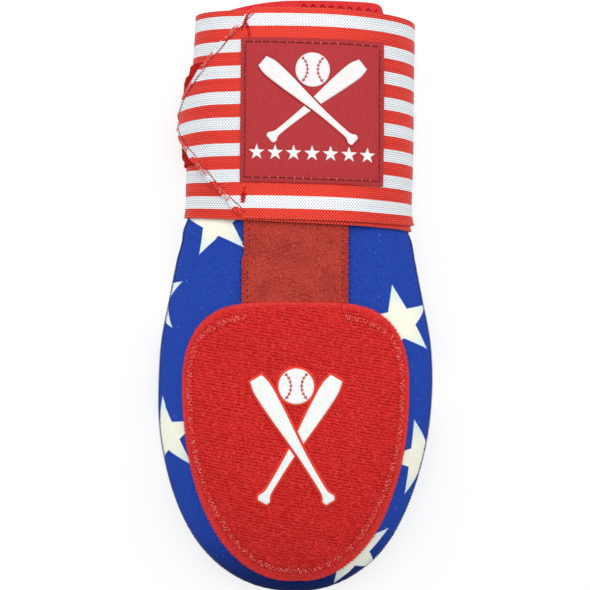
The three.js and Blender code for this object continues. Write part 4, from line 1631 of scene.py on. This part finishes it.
def hem_threads():
    lines, holes = [], []
    for side in SIDES.values():
        along, height = running_stitch(
            HEM_LENGTH - HEM_FROM - 1, HEM_STITCH, rise=0.16, dip=0.12, steps=HEM_STITCH_STEPS)
        along = along + HEM_FROM
        inward = HEM_WIDTH + 0.3 + 0.22 * np.sin(along / 1.9 + side) + 0.12 * np.sin(along / 5.3)
        lines.append(hem_point(side, along, inward, height)[0])
        # Beads of painted shade at the needle holes.
        dips = slice(None, None, HEM_STITCH_STEPS)
        holes.append(hem_point(side, along[dips], inward[dips], 0.05)[0])
    return [thread_piece("strap_hem_stitches", lines, HEM_THREAD, "striped_elastic", radius_mm=0.19),
            dot_piece("strap_hem_hole_shade", np.concatenate(holes), HOLE, "striped_elastic",
                      radius_mm=0.34, flatness=0.3)]


def hem_fuzz():
    """Cut yarn ends that stand out of the folded edge, most of them in the red bands."""
    draw = random.Random(31)
    lines = []
    for side in SIDES.values():
        for _ in range(HEM_FIBRES):
            along = draw.uniform(HEM_FROM + 2, HEM_LENGTH - 1)
            white = bool(hem_bands(along)[1])
            start = draw.uniform(0.2, HEM_WIDTH)
            lean, reach = draw.uniform(-1.1, 0.2), draw.uniform(0.4, 1.0)
            rise = draw.uniform(0.1, 0.35)
            if white:
                continue
            inward = start - reach * np.array([0, 0.5, 1.0])
            height = HEM_RISE + np.array([-0.1, rise, 0.1])
            lines.append(hem_point(side, along + lean * np.array([0, 0.4, 1.0]), inward, height)[0])
    return thread_piece(
        "strap_hem_fuzz", lines, HEM_FIBRE, "striped_elastic", radius_mm=0.1, sides=4)


hem_details = hem_threads() + [hem_fuzz()]

# %% [markdown]
# Where the point begins, the elastic is held by two short dense rows of red thread. Above the
# label they stand like a tent, and below it they cross as a small lozenge.

# %% Bartacks
TACK_PITCH = 0.55
TACK_OVER = 0.15
TACK_BOW = 0.1
TENT_ROWS = (
    ((-22.7, 138.9), (-24.3, 134.4), 0.75, HEM_RISE),
    ((-24.2, 135.0), (-25.9, 131.4), 0.4, 0.1),
    ((-24.0, 135.2), (-22.2, 131.2), 0.75, 0.2),
    ((-22.2, 131.0), (-21.9, 127.8), 0.4, 0.1),
)
LOZENGE_ROWS = (
    ((-24.1, 56.0), (-24.6, 52.2), 0.35, 0.0),
    ((-25.3, 52.8), (-24.8, 47.9), 0.85, 0.1),
    ((-23.9, 52.8), (-24.5, 48.4), 0.75, 0.1),
)


def tack(start, end, reach, over):
    """A dense zigzag between two places on the strap's outer turn."""
    start, end = np.array(start), np.array(end)
    length = np.linalg.norm(end - start)
    forward = (end - start) / length
    sideways = np.array([-forward[1], forward[0]])
    step = np.arange(0, length / TACK_PITCH, 0.25)
    swing = reach * np.sin(np.pi * step)
    flat = start + forward * (step * TACK_PITCH)[:, None] + sideways * swing[:, None]
    height = TACK_OVER + over + TACK_BOW * np.abs(np.cos(np.pi * step))
    return strap_point(outer_turn(flat[:, 0], flat[:, 1]), flat[:, 1], height)


tacks = [tack(*row) for row in TENT_ROWS + LOZENGE_ROWS]
hem_details.append(thread_piece(
    "strap_bartacks", tacks, BARTACK_RED, "striped_elastic", radius_mm=0.24))

# %% Zigzag above the strap
CUFF_ZIGZAG_X = (2.0, 42.0)
CUFF_ZIGZAG_Y = 142.0
CUFF_ZIGZAG_PITCH = 4.5
CUFF_ZIGZAG_REACH = 1.7
CUFF_ZIGZAG_OVER = 1.5


def cuff_zigzag():
    ends = 1 + turn_at_x(CUFF_ZIGZAG_X, CUFF_ZIGZAG_Y, 0)
    turns = np.linspace(*ends, 400)
    points = skin(turns, strap_middle(turns) + STRAP_WIDTH / 2)
    length = lengths_along(points)
    along, across, height = zigzag(
        length[-1], CUFF_ZIGZAG_PITCH, CUFF_ZIGZAG_REACH, rise=0.2, dip=0.15, seed=17, loose=0.06)
    at = np.interp(along, length, turns)
    line = lay(at, strap_middle(at) + STRAP_WIDTH / 2 + CUFF_ZIGZAG_OVER + across, height)
    return thread_piece("cuff_zigzag", [line], CUFF_THREAD, "red_neoprene", radius_mm=0.3)


cuff_details = [cuff_zigzag()]

# %% [markdown]
# ## Woven label
# The label is a square of damask-woven polyester, sewn on the strap all round. Its warp threads
# show as faint upright streaks. Outside the seam its folded border is darker.

# %% Label
LABEL_WIDTH = 69
LABEL_HEIGHT = 69.5
LABEL_THICKNESS = 0.8
LABEL_GAP = 0.4
LABEL_X = 8.3
LABEL_Y = 91.9
LABEL_SLOPE = 0.028
LABEL_LEAN = 0.008
LABEL_SEAM_INSET = 2.3
LABEL_EASE = 0.35
LABEL_EASE_AT = (28, 34.5)
LABEL_CELLS = (48, 48)
# The label's threads are far finer than a pixel, so they are drawn this coarse to show.
SLUB = 0.45
WARP = (1.2, 5.0)
DAMASK_THREAD = 0.6


def label_point(across, along, over):
    """A point over the label's outer face, from lengths measured from its middle."""
    x = LABEL_X + across + LABEL_LEAN * along
    y = LABEL_Y + along - LABEL_SLOPE * across
    return strap_point(outer_turn(x, y), y, LABEL_GAP + LABEL_THICKNESS + over)


def label_place(u, v, depth):
    across = LABEL_WIDTH * (u - 0.5)
    along = LABEL_HEIGHT * (v - 0.5)
    edge = np.minimum(1, ramp(np.abs(across), LABEL_EASE_AT) + ramp(np.abs(along), LABEL_EASE_AT))
    return label_point(across, along, -LABEL_THICKNESS * (1 - depth) - LABEL_EASE * edge * depth)


def label_map(u, v):
    return np.stack([LABEL_WIDTH * (u - 0.5), LABEL_HEIGHT * (v - 0.5)], axis=1)


def woven_label():
    """Damask-woven polyester: a faint silk gloss, warp streaks, and a darker folded border."""
    material, tree = new_material("damask_red_polyester", Roughness=0.55, Sheen_Weight=0.12)
    cloth = add(tree, "UVMap", {}, "UV", uv_map="cloth")
    x, y = (add(tree, "SeparateXYZ", {0: cloth}, axis) for axis in "XY")
    stretched = {"Vector": cloth, "Scale": (1 / WARP[0], 1 / WARP[1], 1.0)}
    warp_place = add(tree, "Mapping", stretched, "Vector")
    warp = add(tree, "TexNoise", {"Vector": warp_place, "Scale": 1.0, "Detail": 3.0}, "Fac")
    grain = add(tree, "TexNoise", {"Vector": cloth, "Scale": 1 / SLUB, "Detail": 2.0}, "Fac")
    streak = add(tree, "MapRange", {0: warp, 1: 0.3, 2: 0.75}, **SOFT_STEP)
    slubs = add(tree, "MapRange", {0: grain, 1: 0.35, 2: 0.7, 4: 0.5}, **SOFT_STEP)
    outside = []
    weave = []
    for place, size in ((x, LABEL_WIDTH), (y, LABEL_HEIGHT)):
        seam = size / 2 - LABEL_SEAM_INSET
        far = add(tree, "Math", {0: place}, operation="ABSOLUTE")
        outside.append(add(tree, "MapRange", {0: far, 1: seam - 0.2, 2: seam + 0.3}, **SOFT_STEP))
        thread = add(tree, "Math", {0: place, 1: 2 * math.pi / DAMASK_THREAD}, operation="MULTIPLY")
        weave.append(add(tree, "Math", {0: thread}, operation="SINE"))
    border = add(tree, "Math", {0: outside[0], 1: outside[1]}, operation="MAXIMUM")
    border = add(tree, "Math", {0: border, 1: 0.25}, operation="MULTIPLY")
    red = linear("#b02c30")
    for share, hex_colour in ((streak, "#b73337"), (slubs, "#a4262b"), (border, "#a0272d")):
        laid = {"Factor": share, "A": red, "B": linear(hex_colour)}
        red = add(tree, "Mix", laid, "Result", **COLOURS)
    weave = add(tree, "Math", {0: weave[0], 1: weave[1]}, operation="MULTIPLY")
    bump = add(tree, "Bump", {"Height": weave, "Strength": 0.25, "Distance": 0.08 * MM}, "Normal")
    return finish(material, red, bump)


label, _ = bent_cloth(
    "woven_label", *LABEL_CELLS, label_place, "woven_label", "label", cloth_map=label_map)
LABEL_RED = woven_label()
label.data.materials.append(LABEL_RED)
soften_edges(label, width_mm=0.3)

# %% Thread round the label
LABEL_STITCH = 4.0
SIDE_STITCH = 2.9
TICK_HALF = 0.4
SEAM_STEPS = 8
PALE_TICK = thread_material("thread_pale_tick", "#bb625f", "#eab4ae")
PINK_TICK = thread_material("thread_rose_tick", "#bb4744", "#dd7670")


def label_seam():
    """Dark stitches all round, with the pale bobbin thread pulled up between them."""
    half_across = LABEL_WIDTH / 2 - LABEL_SEAM_INSET
    half_along = LABEL_HEIGHT / 2 - LABEL_SEAM_INSET
    draw = random.Random(41)
    dark, pale, rose = [], [], []
    bow = np.array([-0.05, 0.2, -0.05])
    for number, side in enumerate((-1, 1)):
        along, height = running_stitch(
            2 * half_across, LABEL_STITCH, rise=0.16, dip=0.15, steps=SEAM_STEPS)
        wave = 0.12 * np.sin(along / 9 + number)
        dark.append(label_point(along - half_across, side * half_along + wave, height))
        for at in np.arange(LABEL_STITCH, 2 * half_across - 1, LABEL_STITCH):
            tall = TICK_HALF * draw.uniform(0.8, 1.2) * np.array([-1, 0, 1.2])
            lean = draw.uniform(-0.15, 0.15)
            pale.append(label_point(at - half_across + lean * tall, side * half_along + tall, bow))
        along, height = running_stitch(
            2 * half_along, SIDE_STITCH, rise=0.16, dip=0.15, steps=SEAM_STEPS)
        wave = 0.12 * np.sin(along / 11 + number)
        dark.append(label_point(side * half_across + wave, along - half_along, height))
        for at in np.arange(SIDE_STITCH, 2 * half_along - 1, SIDE_STITCH):
            tall = TICK_HALF * draw.uniform(0.6, 1.1) * np.array([-1, 0, 1])
            rose.append(label_point(side * half_across + 0.15, at - half_along + tall, bow))
    return [thread_piece("label_stitches", dark, DARK_RED_THREAD, "woven_label", radius_mm=0.2),
            thread_piece("label_pale_ticks", pale, PALE_TICK, "woven_label", radius_mm=0.17),
            thread_piece("label_rose_ticks", rose, PINK_TICK, "woven_label", radius_mm=0.15)]


label_details = label_seam()

# %% Figures on the label
LABEL_PRINT = (0.0, 3.0)
LABEL_BAT_LENGTH = 58
LABEL_BAT_TILT = 50
LABEL_BAT_SCALE = 1.15
LABEL_BAT_GAP = 0.9
LABEL_BALL_RADIUS = 8.2
LABEL_BALL_OVER = 16.5
LABEL_BAT_CELLS = (8, 70)
LABEL_FILM = 0.12
STAR_ROW_Y = -20.5
STAR_ROW_COUNT = 7
STAR_ROW_PITCH = 8.8
STAR_ROW_RADIUS = 3.9


def small_star(bm, centre, radius, surface, base, thickness):
    """A little five-pointed star: a ring of ten points, every other one drawn in."""
    circle = bmesh.ops.create_circle(bm, cap_ends=True, cap_tris=True, segments=10, radius=radius)
    ring = circle["verts"]
    for vert in ring:
        if vert.co.length < radius / 2:
            continue
        number = round((math.atan2(vert.co.y, vert.co.x) - math.pi / 2) / (math.pi / 5))
        vert.co *= 1 if number % 2 == 0 else STAR_INNER_SHARE
    faces = list({face for vert in ring for face in vert.link_faces})
    grown = bmesh.ops.extrude_face_region(bm, geom=faces, use_keep_orig=True)
    top = [part for part in grown["geom"] if isinstance(part, bmesh.types.BMVert)]
    bmesh.ops.translate(bm, vec=(0, 0, 1), verts=top)
    for vert in ring + top:
        x, y, z = vert.co
        vert.co = Vector(surface(centre[0] + x, centre[1] + y, base + thickness * z)) * MM


def label_print():
    made = []
    for number, tilt in enumerate((LABEL_BAT_TILT, -LABEL_BAT_TILT)):
        name = "label_bat_" + str(number + 1)
        sheets = [(name, 0, LABEL_FILM * number, WHITE_DAMASK)]
        if number:
            sheets.insert(0, (name + "_gap", LABEL_BAT_GAP, LABEL_FILM * 0.6, LABEL_RED))
        for sheet_name, grow, over, thread in sheets:
            bat = bat_outline(
                LABEL_BAT_LENGTH, tilt, BAT_CROSS, LABEL_BAT_SCALE, grow, LABEL_PRINT)
            made.append(figure(sheet_name, LABEL_BAT_CELLS, bat, label_point, over, LABEL_FILM,
                               thread, "woven_label"))
    centre = (LABEL_PRINT[0], LABEL_PRINT[1] + LABEL_BALL_OVER)
    made += ball("label_ball", LABEL_BALL_RADIUS, centre, label_point, LABEL_FILM, WHITE_DAMASK,
                 "woven_label")
    bm = bmesh.new()
    for number in range(STAR_ROW_COUNT):
        x = STAR_ROW_PITCH * (number - (STAR_ROW_COUNT - 1) / 2)
        small_star(bm, (x, STAR_ROW_Y), STAR_ROW_RADIUS, label_point, 0.0, LABEL_FILM)
    bmesh.ops.recalc_face_normals(bm, faces=bm.faces)
    mesh = mesh_from(bm, "label_stars")
    mesh.materials.append(WHITE_DAMASK)
    stars = new_object(mesh.name, mesh, "woven_label")
    mesh.polygons.foreach_set("use_smooth", [False] * len(mesh.polygons))
    print(mesh.name, STAR_ROW_COUNT, "stars")
    return made + [stars]


label_details += label_print()

# %% [markdown]
# ## Hook tab
# The hook tape that fastens the strap sits under its pointed end. Only its side shows, at the
# left edge of the mitt, where it bulges out with the loose end of the strap. A thin backing is
# seen past the thicker tape above and below. Its hooks are short stiff threads.

# %% Hook tab
HOOK_TUFT = 0.9
HOOK_COUNT = 1300
HOOK_TURNS = (0.70, 0.80)
TAB_CELLS = (90, 90)


def hook_tape():
    """Nylon hook tape: dark red, nearly dull and bristly, with shade between the hooks."""
    return mottled_material(
        "hook_tape_red_nylon", HOOK_TUFT, ("#8c0f0e", "#c8211c"), ends=(0.35, 0.65),
        relief=(0.8, 0.4), Roughness=0.8, Specular_IOR_Level=0.03)


def tab_height(turn, up):
    """Heights of the tab's two faces over the skin, up being the share of its width."""
    below_top, above_bottom = TAB_WIDTH * (1 - up), TAB_WIDTH * up
    tape = ramp(below_top, TAB_BORDER_TOP) * ramp(above_bottom, TAB_BORDER_BOTTOM)
    bulge = ramp(below_top, TAB_LIFT_TOP) * ramp(above_bottom, TAB_LIFT_BOTTOM)
    bulge = bulge * ramp(turn + 1, TIP_OPENS)
    inner = STRAP_GAP + STRAP_LAYER + TIP_LIFT * bulge
    return inner, inner + TAB_BACKING + (TAB_THICKNESS - TAB_BACKING) * tape


def tab_place(u, v, depth):
    turn = TAB_FROM + (TAB_TO - TAB_FROM) * v
    rag = 0.25 * np.sin(turn * 900) * np.sign(u - 0.5) * (np.abs(u - 0.5) > 0.49)
    inner, outer = tab_height(turn, u)
    return lay(turn, TAB_Y + TAB_WIDTH * (u - 0.5) + rag, inner + (outer - inner) * depth)


def tab_hooks():
    draw = random.Random(51)
    rows = []
    for _ in range(HOOK_COUNT):
        turn, up = draw.uniform(*HOOK_TURNS), draw.uniform(0.08, 0.9)
        lean, tall = draw.uniform(-0.5, 0.5), draw.uniform(0.25, 0.6)
        outer = tab_height(turn, up)[1]
        y = TAB_Y + TAB_WIDTH * (up - 0.5) + lean * np.array([0, 0.6, 1.0])
        rows.append((np.full(3, turn), y, outer + tall * np.array([-0.2, 0.8, 0.9])))
    flat = np.array(rows)
    lines = lay(flat[:, 0], flat[:, 1], flat[:, 2])
    return thread_piece(
        "hook_tape_hooks", list(lines), HOOK_RED, "hook_tape", radius_mm=0.11, sides=4)


HOOK_RED = thread_material("hook_dark_red", "#9c1410", "#cf2a24")
tab, _ = bent_cloth("hook_tape", *TAB_CELLS, tab_place, "hook_tape", "hook_tab")
tab.data.materials.append(hook_tape())
soften_edges(tab, width_mm=0.3)
tab_details = [tab_hooks()]

# %% [markdown]
# ## Floor and light
# The mitt lies on a light table, whose own glow keeps the shadows pale. One large soft light
# hangs above on the wrist side and a weaker one at each side, under a pale sky. The fingertips
# point away from the lights, so the nose gets the least light.

# %% Floor, lights and sky
FLOOR_Z = -0.4
LIGHTS_AIM = (0, 0, 0.02)


def make_floor():
    bm = bmesh.new()
    bmesh.ops.create_grid(bm, x_segments=1, y_segments=1, size=3)
    bmesh.ops.translate(bm, vec=(0, 0, FLOOR_Z * MM), verts=bm.verts)
    mesh = mesh_from(bm, "floor")
    floor = bpy.data.objects.new("floor", mesh)
    collection.objects.link(floor)
    material, _ = new_material(
        "floor_light_table", Base_Color=linear("#999999"), Roughness=0.9,
        Emission_Color=linear("#ffffff"), Emission_Strength=0.7)
    mesh.materials.append(material)
    return floor


def soft_light(name, place, size, watts):
    data = bpy.data.lights.new(name, "AREA")
    data.shape = "RECTANGLE"
    data.size, data.size_y = size
    data.energy = watts
    light = bpy.data.objects.new(name, data)
    light.location = place
    light.rotation_mode = "QUATERNION"
    light.rotation_quaternion = (Vector(LIGHTS_AIM) - Vector(place)).to_track_quat("-Z", "Y")
    collection.objects.link(light)
    return light


def pale_sky(strength):
    world = bpy.data.worlds.new("pale_sky")
    bpy.context.scene.world = world
    world.use_nodes = True
    background = world.node_tree.nodes["Background"]
    background.inputs["Color"].default_value = linear("#f6f8ff")
    background.inputs["Strength"].default_value = strength


make_floor()
soft_light("key_light", place=(0.0, 0.38, 1.05), size=(1.3, 0.9), watts=9.6)
for light_name, side in (("left_light", -1), ("right_light", 1)):
    soft_light(light_name, place=(side * 0.9, 0.2, 0.6), size=(0.8, 0.8), watts=4.2)
pale_sky(strength=0.18)
bpy.context.scene.view_settings.view_transform = "Standard"
print("made a floor, three lights and a sky")

# %% [markdown]
# Each cloth was cut to a size before it was bent round the mitt. The sizes of the panels, the
# hook tape and the strip's length are read from the cloth maps.

# %% Cloth sizes
def map_size(piece):
    """Width and length of a cloth in millimetres, read from its map."""
    layer = piece.data.uv_layers["cloth"].data
    places = np.empty(len(layer) * 2, np.float32)
    layer.foreach_get("uv", places)
    return np.ptp(places.reshape(-1, 2), axis=0).astype(float)


GIRTH_Y = 100
CUFF_ROUND = skin(np.linspace(0, 1, 400), GIRTH_Y)
map_size(back_panel)
map_size(front_panel)
map_size(strip)[1]
map_size(tab)
